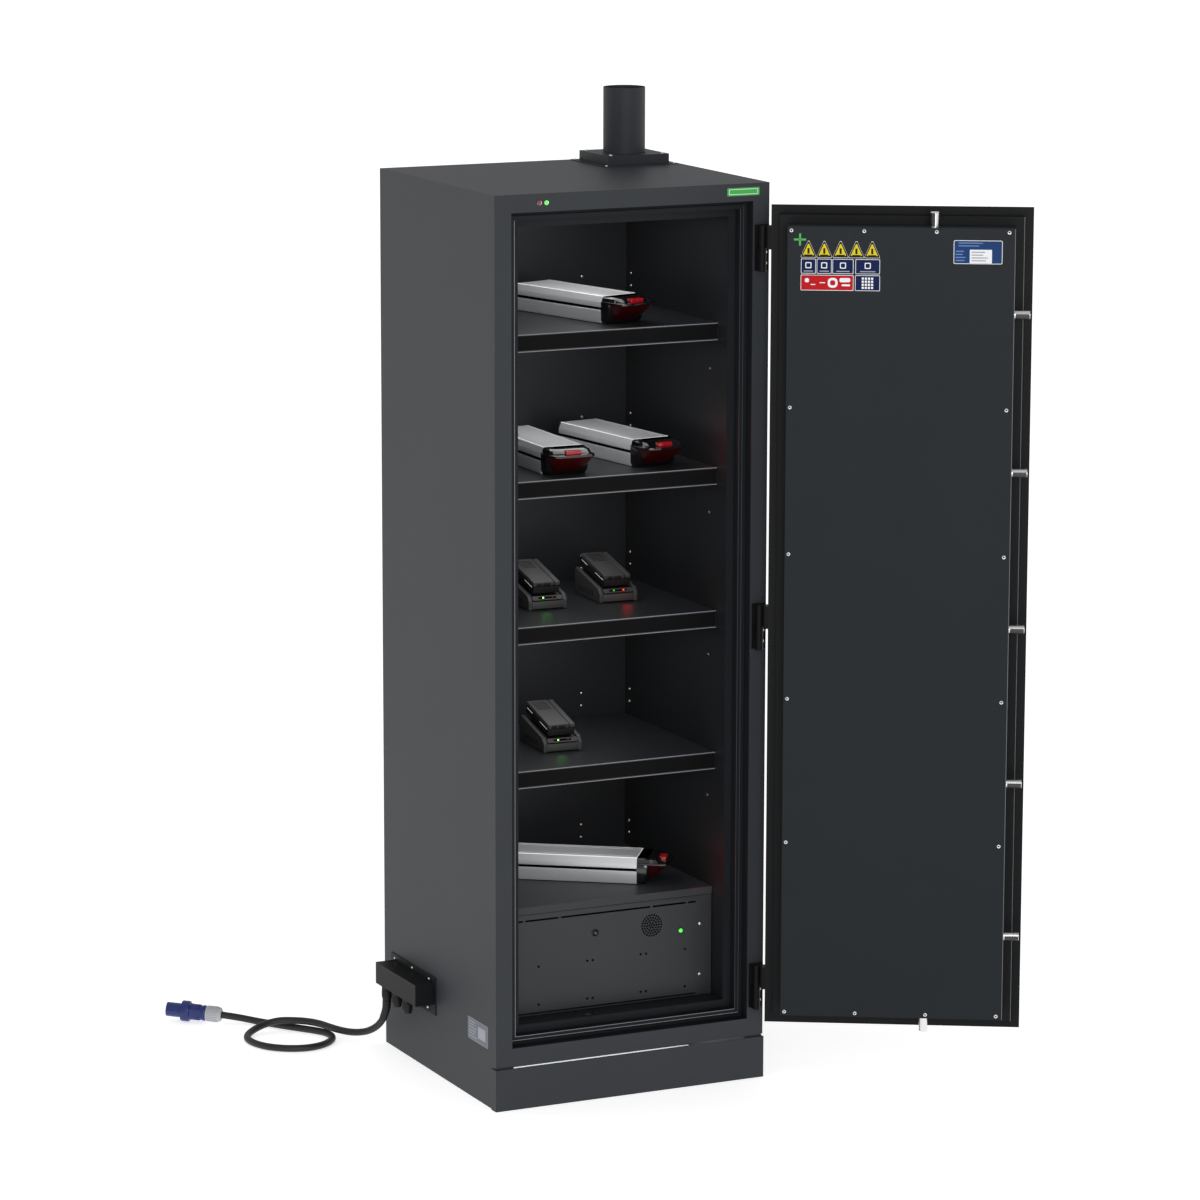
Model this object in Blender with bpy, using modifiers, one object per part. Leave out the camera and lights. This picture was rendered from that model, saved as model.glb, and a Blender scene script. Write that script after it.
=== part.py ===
"""A fire-rated cabinet for storing and charging lithium batteries, with its door standing open.

Metres, +Z up. The front faces -Y and the origin is on the floor, under the middle of the cabinet.
"""

import math

import bmesh
import bpy
from mathutils import Matrix, Vector

# Cabinet body
WIDTH = 0.650
DEPTH = 0.613
HEIGHT = 1.996
BODY_BOTTOM = 0.0985
SHEET = 0.002
GAP = 0.0003
HALF_W = WIDTH / 2
FRONT = -DEPTH / 2
BACK = DEPTH / 2

# Stepped front frame: distances in from the cabinet's sides, and back from its front face
OPENING_INSET = 0.039
LEDGE_1_INSET = 0.0485
LEDGE_2_INSET = 0.058
LINER_INSET = 0.0758
GROOVE_DEPTH = 0.030
LEDGE_1_DEPTH = 0.0246
LEDGE_2_DEPTH = 0.0466
LEDGE_SHEET = 0.0015
INSULATION_DEPTH = 0.080
LINER_BACK_DEPTH = 0.550

# Door, modelled shut and then swung open about its hinge axis
HINGE_X = 0.2997
HINGE_Y = -0.3254
OPEN_ANGLE = math.radians(150)
RIM_HALF_W = 0.2806
RIM_BOTTOM = 0.1408
RIM_TOP = 1.9538
STEP_MARGIN = 0.0189
PANEL_MARGIN = 0.0385
SKIN_BACK = 0.003
CORE_BACK = 0.023
PANEL_BACK = 0.086
HINGE_TOPS = (1.906, 1.075, 0.263)
HINGE_HEIGHT = 0.100

# Bolts and lock
BOLT_R = 0.0095
BOLT_HOLE_R = 0.0103
KEEP_HOLE_R = 0.0112
BOLT_DEPTH = 0.066
BOLT_SHORT = 0.005
BOLT_HEIGHTS = (0.3640, 0.7057, 1.0473, 1.3890, 1.7306)
END_BOLT_X = -0.070
HANDLE_X = -0.215
HANDLE_Z = 1.120
LOCK_Z = 1.200

# Inside
SHELF_TOPS = (0.729, 1.0475, 1.366, 1.6845)
SHELF_HALF_W = 0.2482
SHELF_LIP = 0.038
SHELF_FRONT_DEPTH = 0.090
SHELF_BACK_DEPTH = 0.548
UNIT_BOTTOM = 0.1748
UNIT_TOP = 0.421
UNIT_LIP = 0.405
UNIT_FRONT_DEPTH = 0.1017
COVER_HALF_W = 0.2475
COVER_BOTTOM = 0.1752
COVER_TOP = 0.4035
SLOT_X = (-0.2350, 0.2090)
SLOT_ZS = ((0.1780, 0.1816), (0.3880, 0.3920))
FAN_X = 0.0999
FAN_Z = 0.3474
FAN_BORE_R = 0.027

# Exhaust on the roof
EXHAUST_X = 0.225
EXHAUST_Y = 0.2065
PIPE_R = 0.047
PIPE_TOP = HEIGHT + 0.168
BOX_HALF = 0.075
BOX_HEIGHT = 0.0205
PLATE_HALF = 0.090
FLAP_Z = 2.060
PIPE_BOTTOM = HEIGHT - 0.040
VENT_X = 0.215
VENT_R = 0.016

# Mains inlet and cord
INLET_Y = (0.0277, 0.2525)
INLET_Z = (0.1573, 0.2062)
INLET_OUT = 0.045
GLAND_X = -0.3543
GLAND_YS = (0.2265, 0.168, 0.1095)
CORD_R = 0.008
CORD_ROUTE = (
    (-0.3543, 0.2265, 0.150),
    (-0.3543, 0.2265, 0.122),
    (-0.3545, 0.231, 0.100),
    (-0.3565, 0.245, 0.074),
    (-0.362, 0.266, 0.052),
    (-0.373, 0.290, 0.036),
    (-0.388, 0.313, 0.028),
    (-0.404, 0.335, 0.0255),
    (-0.418, 0.361, 0.0255),
    (-0.428, 0.390, 0.0257),
    (-0.438, 0.423, 0.0258),
    (-0.456, 0.453, 0.0258),
    (-0.483, 0.476, 0.0256),
    (-0.514, 0.489, 0.0250),
    (-0.546, 0.491, 0.0200),
    (-0.577, 0.482, 0.0130),
    (-0.601, 0.460, 0.0088),
    (-0.612, 0.428, 0.0083),
    (-0.609, 0.390, 0.0083),
    (-0.591, 0.351, 0.0083),
    (-0.557, 0.321, 0.0083),
    (-0.517, 0.308, 0.0083),
    (-0.478, 0.315, 0.0083),
    (-0.446, 0.339, 0.0083),
    (-0.430, 0.370, 0.0083),
    (-0.431, 0.403, 0.0083),
    (-0.447, 0.434, 0.0083),
    (-0.470, 0.465, 0.0083),
    (-0.496, 0.500, 0.0083),
    (-0.520, 0.536, 0.0083),
    (-0.544, 0.566, 0.0098),
    (-0.572, 0.588, 0.0145),
    (-0.606, 0.610, 0.0194),
    (-0.6143, 0.6156, 0.0201),
)
CORD_SPLINE_STEPS = 2
PLUG_TAIL = (-0.606, 0.610, 0.0194)
PLUG_HEADING = math.radians(145.9)
PLUG_RISE = math.radians(3.9)

# Battery packs: the middle of the metal body's front edge, what it stands on, and its heading
PACK_W = 0.105
PACK_H = 0.060
PACK_BODY_L = 0.295
BLADE_Z = (0.0430, 0.0505)
PACK_NOSE_L = 0.072
PACKS = (
    (0.0596, -0.1131, SHELF_TOPS[3], 105.0),
    (-0.0888, -0.1418, SHELF_TOPS[2], 89.0),
    (0.1327, -0.1213, SHELF_TOPS[2], 97.5),
    (0.1327, -0.0784, UNIT_TOP, 145.0),
)

# Chargers: the middle of the front edge, the shelf, and the heading; a tool battery lies in each dock
CHARGER_W = 0.092
CHARGER_L = 0.145
CHARGER_FRONT_H = 0.020
DOCK_START = 0.012
DOCK_H = 0.033
DOCK_TILT = math.radians(12.0)
TOOL_BATTERY = (0.064, 0.138, 0.028)
CHARGERS = (
    (-0.0562, -0.0745, SHELF_TOPS[0], 86.7),
    (-0.0834, -0.0546, SHELF_TOPS[1], 87.3),
    (0.0949, -0.0422, SHELF_TOPS[1], 87.5),
)

ROUND = 32

# Turns a side view drawn as (forward, up) upright, with its thickness across
UPRIGHT = Matrix(((0, 0, 1, 0), (1, 0, 0, 0), (0, 1, 0, 0), (0, 0, 0, 1)))


def clear_scene():
    for item in list(bpy.data.objects):
        bpy.data.objects.remove(item, do_unlink=True)


def new_collection(name, hidden=False):
    made = bpy.data.collections.new(name)
    made.hide_render = hidden
    bpy.context.scene.collection.children.link(made)
    return made


clear_scene()
PARTS = new_collection("battery_box")
CUTTERS = new_collection("cutters", hidden=True)


# ---------------------------------------------------------------- materials


def material(name, colour, roughness, metallic=0.0):
    made = bpy.data.materials.new(name)
    made.use_nodes = True
    shader = made.node_tree.nodes["Principled BSDF"]
    shader.inputs["Base Color"].default_value = (*colour, 1.0)
    shader.inputs["Roughness"].default_value = roughness
    shader.inputs["Metallic"].default_value = metallic
    return made


POWDER_COAT = material("powder_coat", (0.055, 0.057, 0.062), 0.55)
LINER_PAINT = material("liner_paint", (0.020, 0.021, 0.024), 0.50)
DOOR_PAINT = material("door_paint", (0.028, 0.030, 0.034), 0.50)
INSULATION = material("insulation", (0.070, 0.068, 0.064), 0.95)
SEAL = material("seal_rubber", (0.010, 0.010, 0.011), 0.80)
STEEL = material("bright_steel", (0.62, 0.62, 0.63), 0.28, 1.0)
ALUMINIUM = material("aluminium", (0.58, 0.59, 0.60), 0.38, 1.0)
BLACK_PLASTIC = material("black_plastic", (0.018, 0.018, 0.020), 0.55)
CABLE_RUBBER = material("cable_rubber", (0.014, 0.014, 0.016), 0.70)
BLUE_PLASTIC = material("blue_plastic", (0.010, 0.075, 0.420), 0.40)
GREY_PLASTIC = material("grey_plastic", (0.550, 0.560, 0.570), 0.50)
RED_LENS = material("red_lens", (0.600, 0.012, 0.010), 0.20)
GREEN_LENS = material("green_lens", (0.015, 0.500, 0.060), 0.20)


# ---------------------------------------------------------------- shape helpers


def finish(name, mesh, paint, smooth=None):
    made = bpy.data.objects.new(name, mesh)
    if paint is None:
        CUTTERS.objects.link(made)
        made.hide_render = True
        made.display_type = "WIRE"
        return made
    PARTS.objects.link(made)
    mesh.materials.clear()
    mesh.materials.append(paint)
    if smooth is not None:
        mesh.shade_smooth()
        mesh.set_sharp_from_angle(angle=math.radians(smooth))
    return made


def box(name, low, high, paint=None, place=None):
    """An upright box between two corners, or that box moved by the matrix `place`."""
    low = Vector(low)
    high = Vector(high)
    shape = bmesh.new()
    bmesh.ops.create_cube(shape, size=1.0)
    bmesh.ops.scale(shape, vec=high - low, verts=shape.verts)
    bmesh.ops.translate(shape, vec=(low + high) / 2, verts=shape.verts)
    if place is not None:
        bmesh.ops.transform(shape, matrix=place, verts=shape.verts)
    mesh = bpy.data.meshes.new(name)
    shape.to_mesh(mesh)
    shape.free()
    return finish(name, mesh, paint)


def along(direction):
    """The rotation that turns +Z to a direction."""
    return Vector(direction).to_track_quat("Z", "Y").to_matrix().to_4x4()


def rod(name, start, end, radius, paint=None, sides=ROUND):
    """A capped cylinder between two points."""
    start = Vector(start)
    end = Vector(end)
    shape = bmesh.new()
    bmesh.ops.create_cone(
        shape, cap_ends=True, segments=sides, radius1=radius, radius2=radius, depth=(end - start).length
    )
    place = Matrix.Translation((start + end) / 2) @ along(end - start)
    bmesh.ops.transform(shape, matrix=place, verts=shape.verts)
    mesh = bpy.data.meshes.new(name)
    shape.to_mesh(mesh)
    shape.free()
    return finish(name, mesh, paint, 40)


def turned(name, profile, place, paint=None, sides=ROUND):
    """A shape turned about +Z from (radius, height) points, top to bottom, then put at `place`."""
    mesh = bpy.data.meshes.new(name)
    points = [(radius, 0.0, height) for radius, height in profile]
    edges = [(i, i + 1) for i in range(len(points) - 1)]
    mesh.from_pydata(points, edges, [])
    made = finish(name, mesh, paint)
    made.matrix_world = place
    screw = made.modifiers.new("Screw", "SCREW")
    screw.steps = sides
    screw.render_steps = sides
    screw.use_merge_vertices = True
    screw.merge_threshold = 0.00001
    screw.use_smooth_shade = False
    return made


def outline(name, points, thickness, place, paint=None):
    """A flat outline in XY, extruded to both sides of its plane, then put at `place`."""
    curve = bpy.data.curves.new(name, "CURVE")
    curve.dimensions = "2D"
    curve.fill_mode = "BOTH"
    curve.extrude = thickness / 2
    spline = curve.splines.new("POLY")
    spline.points.add(len(points) - 1)
    for point, (x, y) in zip(spline.points, points):
        point.co = (x, y, 0.0, 1.0)
    spline.use_cyclic_u = True
    guide = bpy.data.objects.new(name + "_guide", curve)
    bpy.context.scene.collection.objects.link(guide)
    bpy.context.view_layer.update()
    mesh = bpy.data.meshes.new_from_object(guide.evaluated_get(bpy.context.evaluated_depsgraph_get()))
    bpy.data.objects.remove(guide, do_unlink=True)
    weld(mesh)
    made = finish(name, mesh, paint)
    made.matrix_world = place
    return made


def weld(mesh):
    shape = bmesh.new()
    shape.from_mesh(mesh)
    bmesh.ops.remove_doubles(shape, verts=shape.verts, dist=0.00001)
    bmesh.ops.recalc_face_normals(shape, faces=shape.faces)
    shape.to_mesh(mesh)
    shape.free()


def boolean(made, others, operation):
    for other in others:
        step = made.modifiers.new(operation.title(), "BOOLEAN")
        step.operation = operation
        step.solver = "EXACT"
        step.object = other


def carve(made, *cutters):
    boolean(made, cutters, "DIFFERENCE")


def join(made, *pieces):
    boolean(made, pieces, "UNION")


def inset_box(name, inset, front, back, paint=None):
    """A box set in from the cabinet's sides, top and underside, between two depths behind its front."""
    low = (-HALF_W + inset, FRONT + front, BODY_BOTTOM + inset)
    high = (HALF_W - inset, FRONT + back, HEIGHT - inset)
    return box(name, low, high, paint)


def bevel(made, width, segments=2):
    step = made.modifiers.new("Bevel", "BEVEL")
    step.width = width
    step.segments = segments
    step.limit_method = "ANGLE"
    step.angle_limit = math.radians(40)


# ---------------------------------------------------------------- cabinet


def exhaust_bore(name, radius):
    """The bore round the exhaust pipe, from just under the pipe's lower end up past its top."""
    low = PIPE_BOTTOM - 0.002
    return rod(name, (EXHAUST_X, EXHAUST_Y, low), (EXHAUST_X, EXHAUST_Y, 2.30), radius, sides=48)


def vent_bore(name):
    """The smaller bore from the inside of the cabinet up to the pipe."""
    return rod(name, (VENT_X, EXHAUST_Y, 1.88), (VENT_X, EXHAUST_Y, PIPE_BOTTOM + 0.01), VENT_R, sides=24)


LAMP_XS = {"lamp_red": -0.2210, "lamp_green": -0.2047}
LAMP_Z = 1.976


def outer_casing():
    casing = inset_box("outer_casing", 0.0, 0.0, DEPTH, POWDER_COAT)
    carve(casing, inset_box("casing_inside", SHEET, SHEET, DEPTH - SHEET))
    carve(casing, inset_box("casing_opening", OPENING_INSET, -0.05, 0.05))
    carve(casing, exhaust_bore("casing_bore", PIPE_R + 0.0013))
    for name, x in LAMP_XS.items():
        start = (x, FRONT - 0.01, LAMP_Z)
        carve(casing, rod(name + "_hole", start, (x, FRONT + 0.01, LAMP_Z), 0.0042, sides=16))
    entry_z = sum(INLET_Z) / 2
    carve(casing, rod("cable_entry", (-0.35, 0.168, entry_z), (-0.30, 0.168, entry_z), 0.015, sides=24))
    return casing


def insulation_jacket():
    jacket = inset_box(
        "insulation_jacket", SHEET + GAP, INSULATION_DEPTH, DEPTH - SHEET - GAP, INSULATION
    )
    liner_outside = LINER_INSET - LEDGE_SHEET - GAP
    carve(jacket, inset_box("jacket_inside", liner_outside, 0.0, LINER_BACK_DEPTH + LEDGE_SHEET + GAP))
    carve(jacket, exhaust_bore("jacket_bore", PIPE_R + 0.0013))
    carve(jacket, vent_bore("jacket_vent"))
    return jacket


def bolt_holes(made, half_w, bottom, top, radius, sides):
    """Round holes for the five side bolts and the two end bolts through a tray's left, top and bottom."""
    y = FRONT + BOLT_DEPTH
    reach = 0.010
    for i, z in enumerate(BOLT_HEIGHTS):
        start = (-half_w - reach, y, z)
        carve(made, rod(f"{made.name}_side_{i}", start, (-half_w + reach, y, z), radius, sides=sides))
    for name, z in (("top", top), ("bottom", bottom)):
        start = (END_BOLT_X, y, z - reach)
        carve(made, rod(f"{made.name}_{name}", start, (END_BOLT_X, y, z + reach), radius, sides=sides))


def inner_liner():
    outside = LINER_INSET - LEDGE_SHEET
    start = LEDGE_2_DEPTH + LEDGE_SHEET + GAP
    liner = inset_box("inner_liner", outside, start, LINER_BACK_DEPTH + LEDGE_SHEET, LINER_PAINT)
    carve(liner, inset_box("liner_inside", LINER_INSET, -0.02, LINER_BACK_DEPTH))
    bolt_holes(liner, HALF_W - LINER_INSET, BODY_BOTTOM + LINER_INSET, HEIGHT - LINER_INSET, KEEP_HOLE_R, 20)
    carve(liner, vent_bore("liner_vent"))
    return liner


def groove_cutters(front, back):
    """Four boxes that make the ring between the opening and the first ledge."""
    outer = (HALF_W - OPENING_INSET, BODY_BOTTOM + OPENING_INSET, HEIGHT - OPENING_INSET)
    inner = (HALF_W - LEDGE_1_INSET, BODY_BOTTOM + LEDGE_1_INSET, HEIGHT - LEDGE_1_INSET)
    near = FRONT + front
    far = FRONT + back
    return (
        box("groove_left", (-outer[0], near, outer[1]), (-inner[0], far, outer[2])),
        box("groove_right", (inner[0], near, outer[1]), (outer[0], far, outer[2])),
        box("groove_low", (-outer[0], near, outer[1]), (outer[0], far, inner[1])),
        box("groove_high", (-outer[0], near, inner[2]), (outer[0], far, outer[2])),
    )


def front_frame():
    outside = OPENING_INSET - LEDGE_SHEET
    inside = LINER_INSET - GAP
    frame = inset_box("front_frame", outside, SHEET + GAP, LEDGE_2_DEPTH + LEDGE_SHEET, POWDER_COAT)
    carve(frame, inset_box("frame_through", inside, -0.02, 0.08))
    carve(frame, inset_box("frame_mouth", OPENING_INSET, -0.02, LEDGE_1_DEPTH))
    carve(frame, inset_box("frame_step", LEDGE_2_INSET, 0.0, LEDGE_2_DEPTH))
    carve(frame, *groove_cutters(0.020, GROOVE_DEPTH))
    return frame


def frame_seal():
    near = GROOVE_DEPTH - 0.0025
    seal = inset_box("frame_seal", OPENING_INSET + GAP, near, GROOVE_DEPTH - GAP, SEAL)
    carve(seal, inset_box("seal_through", LEDGE_1_INSET - GAP, 0.0, 0.05))
    return seal


def plinth():
    rail = 0.042
    side = HALF_W - 0.0015
    top = BODY_BOTTOM - GAP
    near = FRONT + 0.0035
    far = BACK - 0.0015
    strap = 0.012
    frame = box("plinth_frame", (-side, near, 0.0), (side, far, top), POWDER_COAT)
    open_half = side - rail
    carve(frame, box("plinth_through", (-open_half, near - 0.1, strap), (open_half, far + 0.1, top + 0.1)))
    for name, start, end in (("near", near + 0.020, -0.030), ("far", 0.030, far - 0.020)):
        carve(frame, box(f"plinth_{name}", (-open_half, start, -0.1), (open_half, end, strap + 0.1)))
    cover_near = FRONT - 0.003
    cover = box("plinth_cover", (-0.3265, cover_near, 0.0), (0.3265, cover_near + 0.025, 0.093), POWDER_COAT)
    carve(cover, box("cover_inside", (-0.3245, cover_near + SHEET, -0.1), (0.3245, 0.1, 0.2)))


def shelf(number, top):
    near = FRONT + SHELF_FRONT_DEPTH
    far = FRONT + SHELF_BACK_DEPTH
    made = box(
        f"shelf_{number}", (-SHELF_HALF_W, near, top - SHELF_LIP), (SHELF_HALF_W, far, top), LINER_PAINT
    )
    inner = SHELF_HALF_W - LEDGE_SHEET
    low = (-inner, near + LEDGE_SHEET, top - 0.1)
    carve(made, box(f"shelf_{number}_under", low, (inner, far + 0.1, top - LEDGE_SHEET)))


def lamp(name, x):
    profile = (
        (0.0, 0.0042),
        (0.0026, 0.0037),
        (0.0044, 0.0020),
        (0.0057, 0.0012),
        (0.0057, GAP),
        (0.0038, GAP),
        (0.0038, -0.0180),
        (0.0, -0.0180),
    )
    paint = RED_LENS if name == "lamp_red" else GREEN_LENS
    turned(name, profile, Matrix.Translation((x, FRONT, LAMP_Z)) @ along((0, -1, 0)), paint, 24)


# ---------------------------------------------------------------- service unit


def unit_shell():
    near = FRONT + UNIT_FRONT_DEPTH + SHEET
    far = FRONT + SHELF_BACK_DEPTH
    top = UNIT_LIP - GAP
    casing = box("service_casing", (-SHELF_HALF_W, near, UNIT_BOTTOM), (SHELF_HALF_W, far, top), LINER_PAINT)
    inner = SHELF_HALF_W - SHEET
    low = (-inner, near + SHEET, UNIT_BOTTOM + SHEET)
    carve(casing, box("unit_inside", low, (inner, far - SHEET, top - SHEET)))
    low = (SLOT_X[0] - 0.002, near - 0.1, UNIT_BOTTOM + 0.0030)
    carve(casing, box("unit_mouth", low, (SLOT_X[1] + 0.002, near + 0.01, SLOT_ZS[1][1] + 0.002)))
    lid_near = FRONT + UNIT_FRONT_DEPTH - 0.0005
    lid = box("service_top", (-SHELF_HALF_W, lid_near, UNIT_LIP), (SHELF_HALF_W, far, UNIT_TOP), LINER_PAINT)
    low = (-inner, lid_near + SHEET, UNIT_LIP - 0.1)
    carve(lid, box("lid_under", low, (inner, far - SHEET, UNIT_TOP - SHEET)))


def unit_cover():
    near = FRONT + UNIT_FRONT_DEPTH
    far = near + SHEET - GAP
    low = (-COVER_HALF_W, near, COVER_BOTTOM)
    cover = box("service_cover", low, (COVER_HALF_W, far, COVER_TOP), LINER_PAINT)
    carve(cover, rod("grille_hole", (FAN_X, near - 0.05, FAN_Z), (FAN_X, far + 0.05, FAN_Z), 0.0235))
    for i, (bottom, top) in enumerate(SLOT_ZS):
        carve(cover, box(f"cover_slot_{i}", (SLOT_X[0], near - 0.05, bottom), (SLOT_X[1], far + 0.05, top)))


def unit_fan():
    near = FRONT + UNIT_FRONT_DEPTH + SHEET + GAP
    far = near + 0.025
    half = 0.030
    housing = box(
        "fan_housing", (FAN_X - half, near, FAN_Z - half), (FAN_X + half, far, FAN_Z + half), BLACK_PLASTIC
    )
    bore = rod("fan_bore", (FAN_X, near - 0.05, FAN_Z), (FAN_X, far - 0.003, FAN_Z), FAN_BORE_R)
    carve(housing, bore)
    for i in range(4):
        angle = math.radians(45 + 90 * i)
        x = FAN_X + 0.018 * math.cos(angle)
        z = FAN_Z + 0.018 * math.sin(angle)
        carve(housing, rod(f"fan_vent_{i}", (x, far - 0.01, z), (x, far + 0.05, z), 0.007, sides=16))
    middle = (near + far) / 2 - 0.001
    start = (FAN_X, middle - 0.009, FAN_Z)
    wheel = rod("fan_impeller", start, (FAN_X, middle + 0.009, FAN_Z), 0.010, BLACK_PLASTIC, 24)
    blades = 7
    for i in range(blades):
        spin = Matrix.Rotation(2 * math.pi * i / blades, 4, "Y")
        pitch = Matrix.Rotation(math.radians(35), 4, "X")
        place = Matrix.Translation((FAN_X, middle, FAN_Z)) @ spin @ pitch
        join(wheel, box(f"blade_{i}", (0.007, -0.0007, -0.0085), (0.0245, 0.0007, 0.0085), place=place))


def unit_details():
    floor = UNIT_BOTTOM + SHEET + GAP
    box("control_module", (-0.120, -0.185, floor), (0.020, -0.090, floor + 0.080), BLACK_PLASTIC)
    near = FRONT + UNIT_FRONT_DEPTH - GAP
    dome = ((0.0, 0.0068), (0.0030, 0.0062), (0.0058, 0.0044), (0.0075, 0.0018), (0.0080, 0.0), (0.0, 0.0))
    place = Matrix.Translation((-0.0392, near, 0.3463)) @ along((0, -1, 0))
    turned("sensor_dome", dome, place, BLACK_PLASTIC, 24)
    bead = ((0.0, 0.0052), (0.0026, 0.0047), (0.0048, 0.0030), (0.0065, 0.0018), (0.0065, 0.0), (0.0, 0.0))
    turned("unit_lamp", bead, Matrix.Translation((0.1705, near, 0.3282)) @ along((0, -1, 0)), GREEN_LENS, 24)


# ---------------------------------------------------------------- exhaust


def exhaust():
    base = HEIGHT + GAP
    x, y = EXHAUST_X, EXHAUST_Y
    plate_top = base + LEDGE_SHEET
    low = (x - PLATE_HALF, y - PLATE_HALF, base)
    plate = box("exhaust_plate", low, (x + PLATE_HALF, y + PLATE_HALF, plate_top), POWDER_COAT)
    carve(plate, exhaust_bore("plate_bore", PIPE_R + GAP))
    low = plate_top + GAP
    top = low + BOX_HEIGHT
    flange = box(
        "exhaust_flange", (x - BOX_HALF, y - BOX_HALF, low), (x + BOX_HALF, y + BOX_HALF, top), POWDER_COAT
    )
    inner = BOX_HALF - SHEET
    carve(flange, box("flange_under", (x - inner, y - inner, low - 0.1), (x + inner, y + inner, top - SHEET)))
    carve(flange, exhaust_bore("flange_bore", PIPE_R + GAP))
    pipe = rod("exhaust_pipe", (x, y, PIPE_BOTTOM), (x, y, PIPE_TOP), PIPE_R, POWDER_COAT, 48)
    carve(pipe, exhaust_bore("pipe_bore", PIPE_R - LEDGE_SHEET))
    pivot = Matrix.Translation((x, y, FLAP_Z))
    blade = ((0.0, 0.0007), (0.0445, 0.0007), (0.0445, -0.0007), (0.0, -0.0007))
    flap = turned("exhaust_flap", blade, pivot, STEEL, 48)
    join(flap, rod("flap_shaft", (x - 0.0440, y, FLAP_Z), (x + 0.0440, y, FLAP_Z), 0.0025, sides=16))


# ---------------------------------------------------------------- mains inlet and cord


def inlet():
    wall = -HALF_W - GAP
    flange_sheet = 0.002
    made = box(
        "inlet_box", (wall - INLET_OUT, INLET_Y[0], INLET_Z[0]), (wall, INLET_Y[1], INLET_Z[1]), POWDER_COAT
    )
    join(made, box("inlet_flange", (wall - flange_sheet, 0.0150, 0.1350), (wall, 0.2650, 0.2220)))
    inner = SHEET
    low = (wall - INLET_OUT + inner, INLET_Y[0] + inner, INLET_Z[0] + inner)
    carve(made, box("inlet_inside", low, (wall + 0.05, INLET_Y[1] - inner, INLET_Z[1] - inner)))
    for i, y in enumerate(GLAND_YS):
        carve(made, rod(f"inlet_hole_{i}", (GLAND_X, y, 0.150), (GLAND_X, y, 0.170), CORD_R + GAP, sides=24))


def gland(number, y):
    top = INLET_Z[0] - GAP
    bore = CORD_R + GAP
    profile = (
        (bore, top),
        (0.0125, top),
        (0.0125, top - 0.011),
        (0.0112, top - 0.013),
        (0.0112, top - 0.030),
        (0.0098, top - 0.036),
        (bore, top - 0.036),
        (bore, top),
    )
    if number > 1:
        pilot = ((0.006, top - 0.036), (0.006, top - 0.031), (0.0, top - 0.031))
        profile = ((0.0, top),) + profile[1:6] + pilot
    turned(f"gland_{number}", profile, Matrix.Translation((GLAND_X, y, 0.0)), BLACK_PLASTIC, 24)


def smooth_route(points, steps):
    """Points along one smooth curve through the route, with `steps` to each stretch."""
    route = [Vector(point) for point in points]
    padded = [2 * route[0] - route[1], *route, 2 * route[-1] - route[-2]]
    found = []
    for before, start, end, after in zip(padded, padded[1:], padded[2:], padded[3:]):
        for i in range(steps):
            t = i / steps
            pull = (end - before) * t + (2 * before - 5 * start + 4 * end - after) * t * t
            found.append(start + 0.5 * (pull + (3 * start - before - 3 * end + after) * t**3))
    return [*found, route[-1]]


def mains_cord():
    points = smooth_route(CORD_ROUTE, CORD_SPLINE_STEPS)
    curve = bpy.data.curves.new("mains_cord", "CURVE")
    curve.dimensions = "3D"
    curve.bevel_depth = CORD_R
    curve.bevel_resolution = 3
    curve.use_fill_caps = True
    spline = curve.splines.new("POLY")
    spline.points.add(len(points) - 1)
    for point, place in zip(spline.points, points):
        point.co = (*place, 1.0)
    cord = bpy.data.objects.new("mains_cord", curve)
    curve.materials.append(CABLE_RUBBER)
    PARTS.objects.link(cord)


def plug():
    heading = (
        math.cos(PLUG_HEADING) * math.cos(PLUG_RISE),
        math.sin(PLUG_HEADING) * math.cos(PLUG_RISE),
        math.sin(PLUG_RISE),
    )
    place = Matrix.Translation(PLUG_TAIL) @ along(heading)
    bore = CORD_R + GAP
    nut = (
        (0.0, 0.037),
        (0.0170, 0.037),
        (0.0185, 0.034),
        (0.0185, 0.008),
        (0.0160, 0.001),
        (0.0130, 0.0),
        (bore, 0.0),
        (bore, 0.0115),
        (0.0, 0.0115),
    )
    turned("plug_nut", nut, place, GREY_PLASTIC)
    body = (
        (0.0, 0.104),
        (0.0145, 0.104),
        (0.0145, 0.130),
        (0.0165, 0.130),
        (0.0165, 0.095),
        (0.0240, 0.093),
        (0.0240, 0.076),
        (0.0195, 0.074),
        (0.0170, 0.046),
        (0.0180, 0.044),
        (0.0180, 0.037 + GAP),
        (0.0, 0.037 + GAP),
    )
    turned("plug_body", body, place, BLUE_PLASTIC)


# ---------------------------------------------------------------- door


def door_pivot():
    pivot = bpy.data.objects.new("door_pivot", None)
    pivot.location = (HINGE_X, HINGE_Y, 0.0)
    PARTS.objects.link(pivot)
    return pivot


def hang(pivot, names):
    """Parents shut-door pieces and their cutters to the pivot, keeping their places."""
    shut = Matrix.Translation((-HINGE_X, -HINGE_Y, 0.0))
    for name in names:
        made = bpy.data.objects[name]
        for item in [made, *(step.object for step in made.modifiers if step.type == "BOOLEAN")]:
            item.parent = pivot
            item.matrix_parent_inverse = shut


def rim_box(name, margin, front, back, paint=None):
    low = (-RIM_HALF_W + margin, FRONT + front, RIM_BOTTOM + margin)
    return box(name, low, (RIM_HALF_W - margin, FRONT + back, RIM_TOP - margin), paint)


def spindle_hole(name, z, radius):
    return rod(name, (HANDLE_X, FRONT - 0.05, z), (HANDLE_X, FRONT + 0.05, z), radius, sides=24)


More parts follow.
